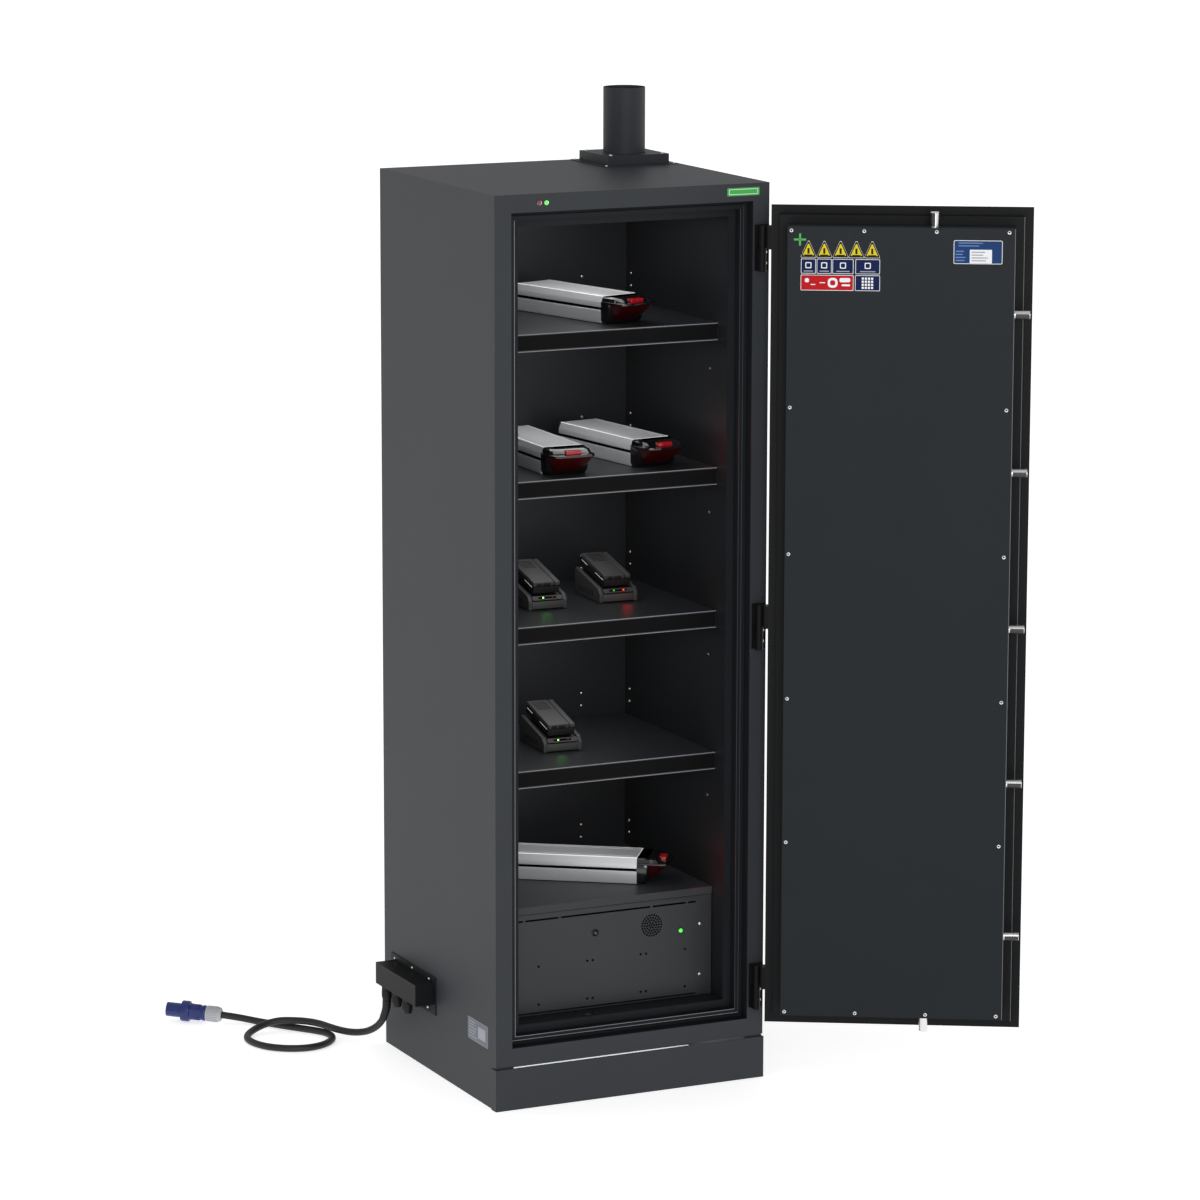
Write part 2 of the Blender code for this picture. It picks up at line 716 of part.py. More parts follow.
def door_leaf():
    skin = rim_box("door_skin", 0.0, 0.0, SKIN_BACK, DOOR_PAINT)
    core = rim_box("door_core", STEP_MARGIN, SKIN_BACK + GAP, CORE_BACK, DOOR_PAINT)
    for made in (skin, core):
        carve(made, spindle_hole(made.name + "_spindle", HANDLE_Z, 0.0056))
        carve(made, spindle_hole(made.name + "_lock", LOCK_Z, 0.0083))
    panel = rim_box("door_panel", PANEL_MARGIN, CORE_BACK + GAP, PANEL_BACK, DOOR_PAINT)
    carve(panel, rim_box("panel_inside", PANEL_MARGIN + SHEET, 0.0, PANEL_BACK - SHEET))
    bottom = RIM_BOTTOM + PANEL_MARGIN
    bolt_holes(panel, RIM_HALF_W - PANEL_MARGIN, bottom, RIM_TOP - PANEL_MARGIN, BOLT_HOLE_R, 24)


def side_boltwork():
    y = FRONT + BOLT_DEPTH
    tip = -RIM_HALF_W + BOLT_SHORT
    bar_x = (-0.188, -0.172)
    bar_z = (BOLT_HEIGHTS[0] - 0.030, BOLT_HEIGHTS[-1] + 0.030)
    work = box("side_boltwork", (bar_x[0], y - 0.0025, bar_z[0]), (bar_x[1], y + 0.0025, bar_z[1]), STEEL)
    for i, z in enumerate(BOLT_HEIGHTS):
        join(work, rod(f"side_bolt_{i}", (tip, y, z), (-0.1735, y, z), BOLT_R, sides=24))


def end_bolt(name, tip, inner, sign):
    """A thin rod inside the door that ends in a bolt at the door's top or bottom edge."""
    thick_from = tip - sign * 0.075
    outer_to_inner = (
        (0.0, tip),
        (BOLT_R - 0.0015, tip),
        (BOLT_R, tip - sign * 0.0015),
        (BOLT_R, thick_from),
        (0.0060, thick_from - sign * 0.004),
        (0.0060, inner),
        (0.0, inner),
    )
    profile = outer_to_inner if sign > 0 else outer_to_inner[::-1]
    turned(name, profile, Matrix.Translation((END_BOLT_X, FRONT + BOLT_DEPTH, 0.0)), STEEL, 24)


def lock_furniture():
    out = Matrix.Translation((HANDLE_X, FRONT, HANDLE_Z)) @ along((0, -1, 0))
    spindle = (
        (0.0, 0.020),
        (0.0125, 0.020),
        (0.0125, 0.0092),
        (0.0050, 0.0092),
        (0.0050, -0.0395),
        (0.0, -0.0395),
    )
    lever = turned("handle_lever", spindle, out, POWDER_COAT, 24)
    y = (FRONT - 0.0205, FRONT - 0.0105)
    grip = box("lever_grip", (HANDLE_X - 0.0110, y[0], HANDLE_Z - 0.130), (HANDLE_X + 0.0110, y[1], HANDLE_Z))
    join(lever, grip)
    ring = ((0.0056, 0.0088), (0.0190, 0.0088), (0.0220, 0.0060), (0.0220, GAP), (0.0056, GAP))
    turned("handle_rose", (*ring, ring[0]), out, BLACK_PLASTIC, 24)
    cylinder = (
        (0.0, 0.0050),
        (0.0120, 0.0050),
        (0.0140, 0.0030),
        (0.0140, GAP),
        (0.0080, GAP),
        (0.0080, -0.0300),
        (0.0, -0.0300),
    )
    barrel = Matrix.Translation((HANDLE_X, FRONT, LOCK_Z)) @ along((0, -1, 0))
    turned("lock_cylinder", cylinder, barrel, STEEL, 24)
    near = FRONT + 0.0400
    rod("bolt_cam", (HANDLE_X, near, HANDLE_Z), (HANDLE_X, near + 0.006, HANDLE_Z), 0.0160, STEEL, 24)


def hinge(number, top):
    """A cabinet half below and a door half above, both wrapped round the hinge axis."""
    middle = top - HINGE_HEIGHT / 2
    low = top - HINGE_HEIGHT
    barrel_r = 0.008
    plate_y = (FRONT - 0.0033, FRONT - GAP)
    frame = box(f"hinge_frame_{number}", (0.2898, plate_y[0], low), (0.3220, plate_y[1], top), POWDER_COAT)
    web = (0.2937, HINGE_Y, low)
    join(frame, box(f"frame_web_{number}", web, (0.3057, plate_y[1] - 0.001, middle - GAP)))
    foot = (HINGE_X, HINGE_Y, low)
    join(frame, rod(f"frame_barrel_{number}", foot, (HINGE_X, HINGE_Y, middle - GAP), barrel_r))
    leaf = box(f"hinge_door_{number}", (0.2350, plate_y[0], middle), (0.2875, plate_y[1], top), POWDER_COAT)
    corner = (0.2800, HINGE_Y - 0.008, middle)
    join(leaf, box(f"door_web_{number}", corner, (0.2875, plate_y[1] - 0.001, top)))
    join(leaf, box(f"door_bridge_{number}", corner, (HINGE_X, HINGE_Y - 0.001, top)))
    join(leaf, rod(f"door_barrel_{number}", (HINGE_X, HINGE_Y, middle), (HINGE_X, HINGE_Y, top), barrel_r))


DOOR_NAMES = (
    "door_skin",
    "door_core",
    "door_panel",
    "side_boltwork",
    "top_bolt",
    "bottom_bolt",
    "handle_lever",
    "handle_rose",
    "lock_cylinder",
    "bolt_cam",
    "hinge_door_1",
    "hinge_door_2",
    "hinge_door_3",
)


def door():
    door_leaf()
    side_boltwork()
    end_bolt("top_bolt", RIM_TOP - BOLT_SHORT, 1.180, 1)
    end_bolt("bottom_bolt", RIM_BOTTOM + BOLT_SHORT, 1.020, -1)
    lock_furniture()
    for number, top in enumerate(HINGE_TOPS, start=1):
        hinge(number, top)
    pivot = door_pivot()
    hang(pivot, DOOR_NAMES)
    pivot.rotation_euler = (0.0, 0.0, OPEN_ANGLE)


# ---------------------------------------------------------------- contents


def standing(x, y, z, heading):
    """A frame on a shelf whose +Y points the way that the thing's length runs."""
    return Matrix.Translation((x, y, z + GAP)) @ Matrix.Rotation(math.radians(heading - 90), 4, "Z")


def pack(number, x, y, z, heading):
    """A box whose lamp end is a blade high above the shelf, with the underside rising to it."""
    side = (
        (0.0, 0.0),
        (PACK_BODY_L, 0.0),
        (PACK_BODY_L, PACK_H),
        (0.0, PACK_H),
        (-0.012, PACK_H - 0.002),
        (-PACK_NOSE_L, BLADE_Z[1]),
        (-PACK_NOSE_L, BLADE_Z[0]),
        (-0.012, 0.002),
    )
    place = standing(x, y, z, heading)
    outline(f"pack_{number}", side, PACK_W, place @ UPRIGHT, ALUMINIUM)


def charger(number, x, y, z, heading):
    place = standing(x, y, z, heading)
    rise = math.tan(DOCK_TILT)
    back_h = DOCK_H + (CHARGER_L - DOCK_START) * rise
    side = (
        (0.0, 0.0),
        (CHARGER_L, 0.0),
        (CHARGER_L, back_h - 0.012),
        (CHARGER_L - 0.006, back_h - 0.006 * rise),
        (DOCK_START, DOCK_H),
        (0.0, CHARGER_FRONT_H),
    )
    outline(f"charger_{number}", side, CHARGER_W, place @ UPRIGHT, BLACK_PLASTIC)
    tilt = Matrix.Translation((0.0, DOCK_START, DOCK_H + 2 * GAP)) @ Matrix.Rotation(DOCK_TILT, 4, "X")
    width, length, thick = TOOL_BATTERY
    made = box(f"tool_battery_{number}", (-width / 2, 0.0, 0.0), (width / 2, length, thick), BLACK_PLASTIC)
    bevel(made, 0.004)
    made.matrix_world = place @ tilt


def main():
    outer_casing()
    insulation_jacket()
    inner_liner()
    front_frame()
    frame_seal()
    plinth()
    for number, top in enumerate(SHELF_TOPS, start=1):
        shelf(number, top)
    for name, x in LAMP_XS.items():
        lamp(name, x)
    unit_shell()
    unit_cover()
    unit_fan()
    unit_details()
    exhaust()
    inlet()
    for number, y in enumerate(GLAND_YS, start=1):
        gland(number, y)
    mains_cord()
    plug()
    door()
    for number, row in enumerate(PACKS, start=1):
        pack(number, *row)
    for number, row in enumerate(CHARGERS, start=1):
        charger(number, *row)


main()
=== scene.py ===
"""Looks of the battery cabinet: materials, fittings, contents, cord, floor, lights and camera."""

import math

import bmesh
import bpy
from mathutils import Matrix, Vector


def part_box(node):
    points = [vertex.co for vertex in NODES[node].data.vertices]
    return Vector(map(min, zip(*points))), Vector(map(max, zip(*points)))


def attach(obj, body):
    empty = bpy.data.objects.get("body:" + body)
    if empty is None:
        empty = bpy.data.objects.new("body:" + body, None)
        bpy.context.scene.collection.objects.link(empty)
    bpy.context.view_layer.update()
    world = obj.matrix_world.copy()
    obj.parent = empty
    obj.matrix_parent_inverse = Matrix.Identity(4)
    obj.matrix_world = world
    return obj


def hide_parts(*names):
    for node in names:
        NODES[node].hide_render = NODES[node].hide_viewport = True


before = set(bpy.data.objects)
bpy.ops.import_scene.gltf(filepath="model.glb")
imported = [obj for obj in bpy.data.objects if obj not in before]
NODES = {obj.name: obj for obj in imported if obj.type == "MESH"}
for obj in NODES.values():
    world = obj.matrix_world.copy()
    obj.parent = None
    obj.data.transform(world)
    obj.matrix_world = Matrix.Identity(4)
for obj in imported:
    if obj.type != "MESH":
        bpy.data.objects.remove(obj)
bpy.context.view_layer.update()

# Cabinet
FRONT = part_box("outer_casing")[0].y
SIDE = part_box("outer_casing")[1].x
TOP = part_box("outer_casing")[1].z
LINER_X = 0.2492
LINER_BACK = FRONT + 0.55
COVER_SLOT_X = (-0.235, 0.209)
COVER_SLOTS = ((0.178, 0.1816), (0.388, 0.392))
SHELF_TOPS = [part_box(f"shelf_{number}")[1].z for number in (1, 2, 3, 4)]
UNIT_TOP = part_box("service_top")[1].z
GAP = 0.0003
# Painted highlight lines on edges: their width and how far they stand out
LINE = 0.0013
LINE_OUT = 0.0002
# The opening's first ledge, at its inner and outer edge: half width, bottom, top, depth from the front
FRAME_LINES = ((0.267, 0.1565, 1.938, 0.0246), (0.2752, 0.1483, 1.9462, 0.0246))
# The door's two inner steps: margin from the rim, depth from the front
DOOR_LINES = ((0.0189, 0.023), (0.0385, 0.086))

# The way the cabinet faces
AHEAD = (0, -1, 0)

# Door
HINGE = Vector((0.2997, -0.3254, 0.0))
OPEN_ANGLE = math.radians(150)
RIM_HALF_W = 0.2806
RIM_BOTTOM = 0.1408
RIM_TOP = 1.9538
SKIN_ROUNDING = 0.0008
PANEL_FACE = FRONT + 0.086
DOOR = Matrix.Translation(HINGE) @ Matrix.Rotation(OPEN_ANGLE, 4, "Z") @ Matrix.Translation(-HINGE)

# Cord: the route's points are those of the CAD tube
CORD_DIAMETER = 0.016
CORD_ROUTE = (
    (-0.3543, 0.2265, 0.15), (-0.3543, 0.2265, 0.122), (-0.3545, 0.231, 0.1),
    (-0.3565, 0.245, 0.074), (-0.362, 0.266, 0.052), (-0.373, 0.29, 0.036), (-0.388, 0.313, 0.028),
    (-0.404, 0.335, 0.0255), (-0.418, 0.361, 0.0255), (-0.428, 0.39, 0.0257),
    (-0.438, 0.423, 0.0258), (-0.456, 0.453, 0.0258), (-0.483, 0.476, 0.0256),
    (-0.514, 0.489, 0.025), (-0.546, 0.491, 0.02), (-0.577, 0.482, 0.013), (-0.601, 0.46, 0.0088),
    (-0.612, 0.428, 0.0083), (-0.609, 0.39, 0.0083), (-0.591, 0.351, 0.0083),
    (-0.557, 0.321, 0.0083), (-0.517, 0.308, 0.0083), (-0.478, 0.315, 0.0083),
    (-0.446, 0.339, 0.0083), (-0.43, 0.37, 0.0083), (-0.431, 0.403, 0.0083),
    (-0.447, 0.434, 0.0083), (-0.47, 0.465, 0.0083), (-0.496, 0.5, 0.0083), (-0.52, 0.536, 0.0083),
    (-0.544, 0.566, 0.0098), (-0.572, 0.588, 0.0145), (-0.606, 0.61, 0.0194),
    (-0.6143, 0.6156, 0.0201),
)
PLUG_TAIL = CORD_ROUTE[-2]
PLUG_HEADING = math.radians(145.9)
PLUG_RISE = math.radians(3.9)
GLAND_X = -0.3543
GLAND_YS = (0.2265, 0.168, 0.1095)
INLET_BOTTOM = 0.1573


# --- materials

ROUGH_SPREAD = 0.06


def surface(name, colour, roughness, metallic=0.0, **extra):
    """A Principled material whose tone, roughness and height vary a little over the surface.

    extra: grain (noise scale), height (bump distance), mottle (share of tone change), coat,
    stretch (scale of the grain along each axis), specular (0.5 is a bare dielectric).
    """
    made = bpy.data.materials.new(name)
    made.use_nodes = True
    new = made.node_tree.nodes.new
    link = made.node_tree.links.new
    shader = made.node_tree.nodes["Principled BSDF"]
    shader.inputs["Metallic"].default_value = metallic
    shader.inputs["Specular IOR Level"].default_value = extra.get("specular", 0.5)
    shader.inputs["Coat Weight"].default_value = extra.get("coat", 0.0)
    shader.inputs["Coat Roughness"].default_value = 0.12
    place = new("ShaderNodeTexCoord")
    stretched = new("ShaderNodeMapping")
    stretched.inputs["Scale"].default_value = extra.get("stretch", (1.0, 1.0, 1.0))
    link(place.outputs["Object"], stretched.inputs["Vector"])

    mottle = new("ShaderNodeTexNoise")
    mottle.inputs["Scale"].default_value = 7.0
    mottle.inputs["Detail"].default_value = 5.0
    link(place.outputs["Object"], mottle.inputs["Vector"])
    spread = extra.get("mottle", 0.12)
    tone = new("ShaderNodeMix")
    tone.data_type = "RGBA"
    tone.inputs["A"].default_value = (*(c * (1 - spread) for c in colour), 1.0)
    tone.inputs["B"].default_value = (*(min(c * (1 + spread), 1.0) for c in colour), 1.0)
    link(mottle.outputs["Fac"], tone.inputs["Factor"])
    link(tone.outputs["Result"], shader.inputs["Base Color"])

    grain = new("ShaderNodeTexNoise")
    grain.inputs["Scale"].default_value = extra.get("grain", 900.0)
    grain.inputs["Detail"].default_value = 3.0
    link(stretched.outputs["Vector"], grain.inputs["Vector"])
    gloss = new("ShaderNodeMapRange")
    gloss.inputs["To Min"].default_value = roughness - ROUGH_SPREAD
    gloss.inputs["To Max"].default_value = roughness + ROUGH_SPREAD
    link(grain.outputs["Fac"], gloss.inputs["Value"])
    link(gloss.outputs["Result"], shader.inputs["Roughness"])
    bump = new("ShaderNodeBump")
    bump.inputs["Strength"].default_value = 0.5
    bump.inputs["Distance"].default_value = extra.get("height", 0.0002)
    link(grain.outputs["Fac"], bump.inputs["Height"])
    link(bump.outputs["Normal"], shader.inputs["Normal"])
    return made


def lens(name, colour, glow):
    """A tinted clear moulding that glows a little from within; the same glow also makes painted highlight
    strips on edges, which are no lamps.
    """
    made = surface(name, colour, 0.1, coat=0.6, height=0.00005, mottle=0.2)
    shader = made.node_tree.nodes["Principled BSDF"]
    shader.inputs["Transmission Weight"].default_value = 0.35
    shader.inputs["Emission Color"].default_value = (*colour, 1.0)
    shader.inputs["Emission Strength"].default_value = glow
    return made


def coating(name, colour, roughness, specular, height=0.0002, grain=1200, mottle=0.12):
    """Fine-textured powder coat."""
    return surface(name, colour, roughness, specular=specular, height=height, grain=grain, mottle=mottle)


def film(name, colour, roughness=0.45, metallic=0.0, **extra):
    """The smooth surface of a label or badge."""
    return surface(name, colour, roughness, metallic, grain=900, height=0.00004, **extra)


POWDER = coating("powder_coat", (0.03, 0.0335, 0.039), 0.5, 0.22, 0.00025, 1400, 0.08)
LINER = coating("liner_paint", (0.0125, 0.0133, 0.015), 0.4, 0.34, 0.00018, 1100)
SHELF = coating("shelf_paint", (0.02, 0.0215, 0.024), 0.38, 0.4, 0.00018, 1100)
UNIT_PAINT = coating("unit_paint", (0.032, 0.034, 0.038), 0.46, 0.3, 0.00018, mottle=0.08)
# Near-black paint for the shelf lips' faces: painted shade, the shade of the recess they sit in.
LIP_SHADE = coating("lip_painted_shade", (0.0045, 0.0045, 0.0048), 0.6, 0.06, 0.0001, 1100)
DOOR_PAINT = coating("door_paint", (0.0092, 0.012, 0.0145), 0.46, 0.17)
# A darker copy of the door's paint for its rim and step: painted shade, the cabinet's shadow on the open
# door.
RIM_SHADE_PAINT = coating("rim_painted_shade", (0.005, 0.0055, 0.0065), 0.46, 0.14)
FRAME_PAINT = coating("frame_paint", (0.011, 0.0125, 0.015), 0.5, 0.14, 0.00025, 1400)
INLET_PAINT = coating("inlet_paint", (0.0075, 0.008, 0.009), 0.5, 0.14, 0.00025, 1400)
# Pale edge paints are painted highlights, the light that folded and rounded edges catch; the faint one is
# dimmed as painted shade for edges on the side away from the light.
EDGE_HIGHLIGHT = coating("painted_edge_highlight", (0.21, 0.225, 0.25), 0.4, 0.4, 0.0001)
DOOR_HIGHLIGHT = coating("door_highlight", (0.12, 0.128, 0.14), 0.4, 0.4, 0.0001)
FAINT_HIGHLIGHT = coating("faint_highlight", (0.06, 0.064, 0.072), 0.46, 0.2, 0.0001)
HINGE_PAINT = coating("hinge_paint", (0.005, 0.005, 0.0055), 0.45, 0.12, 0.00015)
# The fire board's grey is darkened: painted shade, as it shows only through holes.
SHADED_BOARD = surface("fire_board_painted_shade", (0.07, 0.068, 0.064), 0.92, grain=260, height=0.0006, mottle=0.1)
SEAL = surface("seal_rubber", (0.012, 0.0125, 0.0135), 0.72, grain=500, height=0.0002, specular=0.12)
STEEL = surface(
    "bright_steel", (0.72, 0.72, 0.73), 0.24, 1.0, grain=160, height=0.00004, mottle=0.06, stretch=(1, 1, 12)
)
STEEL_SHADE = surface("steel_shade", (0.05, 0.05, 0.052), 0.3, 0.6, grain=160, height=0.00004, mottle=0.06)
ZINC = surface("zinc_screw", (0.82, 0.82, 0.82), 0.3, 1.0, grain=700, height=0.00006)
DULL_ZINC = surface("dull_zinc", (0.2, 0.2, 0.21), 0.45, 1.0, grain=700, height=0.00006)
ALUMINIUM = surface(
    "aluminium", (0.8, 0.81, 0.83), 0.34, 0.5, grain=220, height=0.00005, mottle=0.05, stretch=(14, 1, 14)
)
PLASTIC = surface("black_plastic", (0.009, 0.009, 0.01), 0.46, grain=1800, height=0.00012, specular=0.3)
GLOSS_PLASTIC = surface("gloss_plastic", (0.005, 0.005, 0.006), 0.14, grain=60, height=0.00005, coat=0.5)
TOOL_GREY = surface("tool_plastic", (0.046, 0.046, 0.046), 0.48, grain=1500, height=0.00015)
SHEATH = surface("cable_rubber", (0.009, 0.009, 0.011), 0.52, grain=420, height=0.00018)
BLUE = surface("blue_plastic", (0.008, 0.022, 0.15), 0.34, grain=900, height=0.0001)
# A pale sheet that stands in for the bright floor seen through the plinth slot: painted light.
SLOT_LIGHT = surface("painted_slot_light", (0.72, 0.73, 0.74), 0.42, grain=120, height=0.00008, mottle=0.1)
GREY = surface("grey_plastic", (0.46, 0.47, 0.5), 0.45, grain=900, height=0.00012)
BRASS = surface("brass", (0.72, 0.56, 0.28), 0.28, 1.0, grain=500, height=0.00004)
# Near-black for the floors of holes, sockets, slots, grooves and seams, and the fan behind the grille:
# painted shade.
RECESS_SHADE = surface("painted_recess_shade", (0.002, 0.002, 0.0022), 0.85, specular=0.08)
# A pale glowing strip on edges, though no lamp: a painted highlight.
EDGE_GLINT = lens("painted_glint", (0.8, 0.8, 0.8), 0.45)
RED_LENS = lens("red_lens", (0.34, 0.004, 0.006), 0.1)
DEEP_LENS = lens("deep_red_lens", (0.04, 0.0008, 0.0012), 0.05)
RED_STRIP = lens("red_strip", (0.5, 0.008, 0.014), 0.16)
GREEN_LENS = lens("green_lens", (0.1, 0.75, 0.08), 0.9)
RED_LED = lens("red_led", (1.0, 0.03, 0.02), 4.0)
GREEN_LED = lens("green_led", (0.22, 1.0, 0.12), 5.0)
BADGE_GREEN = film("badge_green", (0.03, 0.38, 0.05), 0.35)
LABEL_WHITE = film("label_white", (0.74, 0.75, 0.77), mottle=0.04)
LABEL_PALE = film("label_pale", (0.36, 0.37, 0.4), specular=0.2)
LABEL_SILVER = film("label_silver", (0.13, 0.14, 0.17), 0.4, 0.3)
LABEL_GREY = film("label_grey", (0.3, 0.31, 0.35), 0.5, specular=0.2)
LABEL_BLUE = film("label_blue", (0.003, 0.01, 0.062), specular=0.1)
PRINT_BLUE = film("print_blue", (0.11, 0.2, 0.42), specular=0.2)
PLATE_BLUE = film("plate_blue", (0.005, 0.036, 0.135), 0.4, specular=0.14)
LABEL_RED = film("label_red", (0.44, 0.006, 0.01), specular=0.1)
LABEL_YELLOW = film("label_yellow", (0.62, 0.5, 0.01), specular=0.14)
LABEL_DARK = film("label_dark", (0.012, 0.011, 0.006), specular=0.1)


# --- mesh tools

# Edges sharper than this are left crisp
SMOOTH_BELOW = math.radians(35)


def added(name, data):
    """A new object in the scene."""
    made = bpy.data.objects.new(name, data)
    bpy.context.scene.collection.objects.link(made)
    return made


class Piece:
    """One mesh built from several shapes, each with its own material."""

    def __init__(self, name):
        self.name = name
        self.mesh = bmesh.new()
        self.paints = []

    @staticmethod
    def _round(part, width, segments):
        if width:
            edges = list(part.edges)
            bmesh.ops.bevel(part, geom=edges, offset=width, segments=segments, profile=0.6, affect="EDGES")

    def _add(self, part, paint, place):
        """Moves the shape to its place and adds it to the piece in its material."""
        if paint not in self.paints:
            self.paints.append(paint)
        index = self.paints.index(paint)
        for face in part.faces:
            face.material_index = index
        if place is not None:
            bmesh.ops.transform(part, matrix=place, verts=part.verts)
        bmesh.ops.recalc_face_normals(part, faces=part.faces)
        scratch = bpy.data.meshes.new("scratch")
        part.to_mesh(scratch)
        part.free()
        self.mesh.from_mesh(scratch)
        bpy.data.meshes.remove(scratch)

    def box(self, low, high, paint, place=None, bevel=0.0, segments=2):
        low = Vector(low)
        high = Vector(high)
        part = bmesh.new()
        bmesh.ops.create_cube(part, size=1.0)
        bmesh.ops.scale(part, vec=high - low, verts=part.verts)
        bmesh.ops.translate(part, vec=(low + high) / 2, verts=part.verts)
        self._round(part, bevel, segments)
        self._add(part, paint, place)

    def lathe(self, profile, paint, place, sides=32):
        """A profile of (radius, height) points turned about +Z."""
        part = bmesh.new()
        chain = [part.verts.new((radius, 0.0, height)) for radius, height in profile]
        edges = [part.edges.new(pair) for pair in zip(chain, chain[1:])]
        geom = chain + edges
        bmesh.ops.spin(part, geom=geom, axis=(0, 0, 1), angle=2 * math.pi, steps=sides, use_merge=True)
        bmesh.ops.remove_doubles(part, verts=part.verts, dist=0.000001)
        self._add(part, paint, place)

    def prism(self, points, low, high, paint, place=None, bevel=0.0, segments=2):
        """An outline in XY drawn out from height `low` to height `high`."""
        part = bmesh.new()
        face = part.faces.new([part.verts.new((x, y, low)) for x, y in points])
        lifted = bmesh.ops.extrude_face_region(part, geom=[face])
        raised = [item for item in lifted["geom"] if isinstance(item, bmesh.types.BMVert)]
        bmesh.ops.translate(part, vec=(0, 0, high - low), verts=raised)
        bmesh.ops.recalc_face_normals(part, faces=part.faces)
        self._round(part, bevel, segments)
        self._add(part, paint, place)

    def loft(self, rings, paint, place=None):
        """A closed skin through rings of equally many points, with both ends filled."""
        part = bmesh.new()
        loops = [[part.verts.new(point) for point in ring] for ring in rings]
        for near, far in zip(loops, loops[1:]):
            for i in range(len(near)):
                j = (i + 1) % len(near)
                part.faces.new((near[i], near[j], far[j], far[i]))
        part.faces.new(loops[0][::-1])
        part.faces.new(loops[-1])
        self._add(part, paint, place)

    def finish(self, body, replaces=()):
        mesh = bpy.data.meshes.new(self.name)
        self.mesh.to_mesh(mesh)
        self.mesh.free()
        for paint in self.paints:
            mesh.materials.append(paint)
        mesh.shade_smooth()
        mesh.set_sharp_from_angle(angle=SMOOTH_BELOW)
        made = added(self.name, mesh)
        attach(made, body)
        if replaces:
            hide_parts(*replaces)
        return made


# Drawn along +Z in these frames, a shape runs along +X
SIDEWAYS = Matrix(((0, 0, 1, 0), (1, 0, 0, 0), (0, 1, 0, 0), (0, 0, 0, 1)))


def facing(point, direction):
    """A place at a point whose +Z looks along a direction."""
    return Matrix.Translation(point) @ Vector(direction).to_track_quat("Z", "Y").to_matrix().to_4x4()


def shifted(place, x, y, z=0.0):
    """The place moved along its own axes."""
    return place @ Matrix.Translation((x, y, z))


def turns(count, first=0.0):
    """Equal turns about Z, the first by a share of the step between them."""
    return [Matrix.Rotation(2 * math.pi * (i + first) / count, 4, "Z") for i in range(count)]


def screw_head(piece, place, radius, paint=ZINC):
    """A low domed head with a socket, standing on the surface at `place`."""
    tall = radius * 0.55
    socket = radius * 0.48
    rim = ((0.75, 0.85), (0.95, 0.45), (1.0, 0.0))
    profile = [(0.0, tall * 0.3), (socket, tall * 0.3), (socket, tall * 0.98)]
    profile += [(radius * out, tall * up) for out, up in rim]
    piece.lathe(profile, paint, place, 16)
    # A near-black disc at the floor of the socket: painted shade.
    disc = ((0.0, tall * 0.34), (socket * 0.98, tall * 0.34))
    piece.lathe(disc, RECESS_SHADE, place, 6)


def rounded_outline(half_w, half_h, radius, steps=5):
    """A rectangle about the origin with round corners."""
    points = []
    for quarter, (sx, sy) in enumerate(((1, 1), (-1, 1), (-1, -1), (1, -1))):
        for i in range(steps + 1):
            angle = math.pi / 2 * (quarter + i / steps)
            x = sx * (half_w - radius) + radius * math.cos(angle)
            points.append((x, sy * (half_h - radius) + radius * math.sin(angle)))
    return points


# --- CAD nodes that stay


def dress(name, paint, width=0.0, edge=None, segments=2):
    """Gives a CAD node its material, and its edges a small rounding; a second paint, if given, colours that
    rounding as a painted highlight where edges catch light.
    """
    node = NODES[name]
    node.data.materials.clear()
    node.data.materials.append(paint)
    if edge:
        node.data.materials.append(edge)
    if width:
        step = node.modifiers.new("Edges", "BEVEL")
        step.material = 1 if edge else -1
        step.width = width
        step.segments = segments
        step.limit_method = "ANGLE"
        step.angle_limit = math.radians(40)
        step.harden_normals = False


def shelf_front_shades():
    """Painted shade on each shelf's front lip: a near-black strip over the lip's face, between its top edge
    and its hem, for the shade deep in the cabinet.
    """
    piece = Piece("shelf_front_shades")
    for number in range(1, 5):
        low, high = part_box(f"shelf_{number}")
        near = (low.x + 0.001, low.y - 0.0003, low.z + 0.0035)
        piece.box(near, (high.x - 0.001, low.y + 0.0006, high.z - 0.003), LIP_SHADE)
    piece.finish("cabinet")


def highlight_lines():
    """Thin painted highlight lines on folded edges, where light catches them: shelf fronts, the opening's
    first ledge and the door's free side.
    """
    piece = Piece("cabinet_highlight_lines")
    for number in range(1, 5):
        low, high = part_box(f"shelf_{number}")
        for z in (high.z - LINE, low.z):
            piece.box((low.x, low.y - LINE_OUT, z), (high.x, low.y + LINE, z + LINE + LINE_OUT), EDGE_HIGHLIGHT)
    for half_w, bottom, top, depth in FRAME_LINES:
        near = FRONT + depth - LINE_OUT
        far = near + LINE
        piece.box((-half_w, near, bottom - LINE), (half_w, far, bottom), EDGE_HIGHLIGHT)
        for side in (-1, 1):
            across = sorted((side * half_w, side * (half_w + LINE)))
            # The right-hand lines are dimmer: painted shade on the side away from the light.
            paint = EDGE_HIGHLIGHT if side < 0 else FAINT_HIGHLIGHT
            piece.box((across[0], near, bottom - LINE), (across[1], far, top), paint)
    piece.finish("cabinet")
    piece = Piece("door_highlight_lines")
    for margin, depth in DOOR_LINES:
        side = margin - RIM_HALF_W
        near = FRONT + depth - LINE
        far = near + LINE + LINE_OUT
        piece.box((side, near, RIM_BOTTOM + margin), (side + LINE, far, RIM_TOP - margin), DOOR_HIGHLIGHT, DOOR)
    piece.finish("door")


def door_face():
    """The outer face of the door skin, in the casing's own powder coat."""
    piece = Piece("door_face")
    low = (-RIM_HALF_W + SKIN_ROUNDING, FRONT - GAP, RIM_BOTTOM + SKIN_ROUNDING)
    high = (RIM_HALF_W - SKIN_ROUNDING, FRONT - GAP / 4, RIM_TOP - SKIN_ROUNDING)
    piece.box(low, high, POWDER, DOOR)
    piece.finish("door")


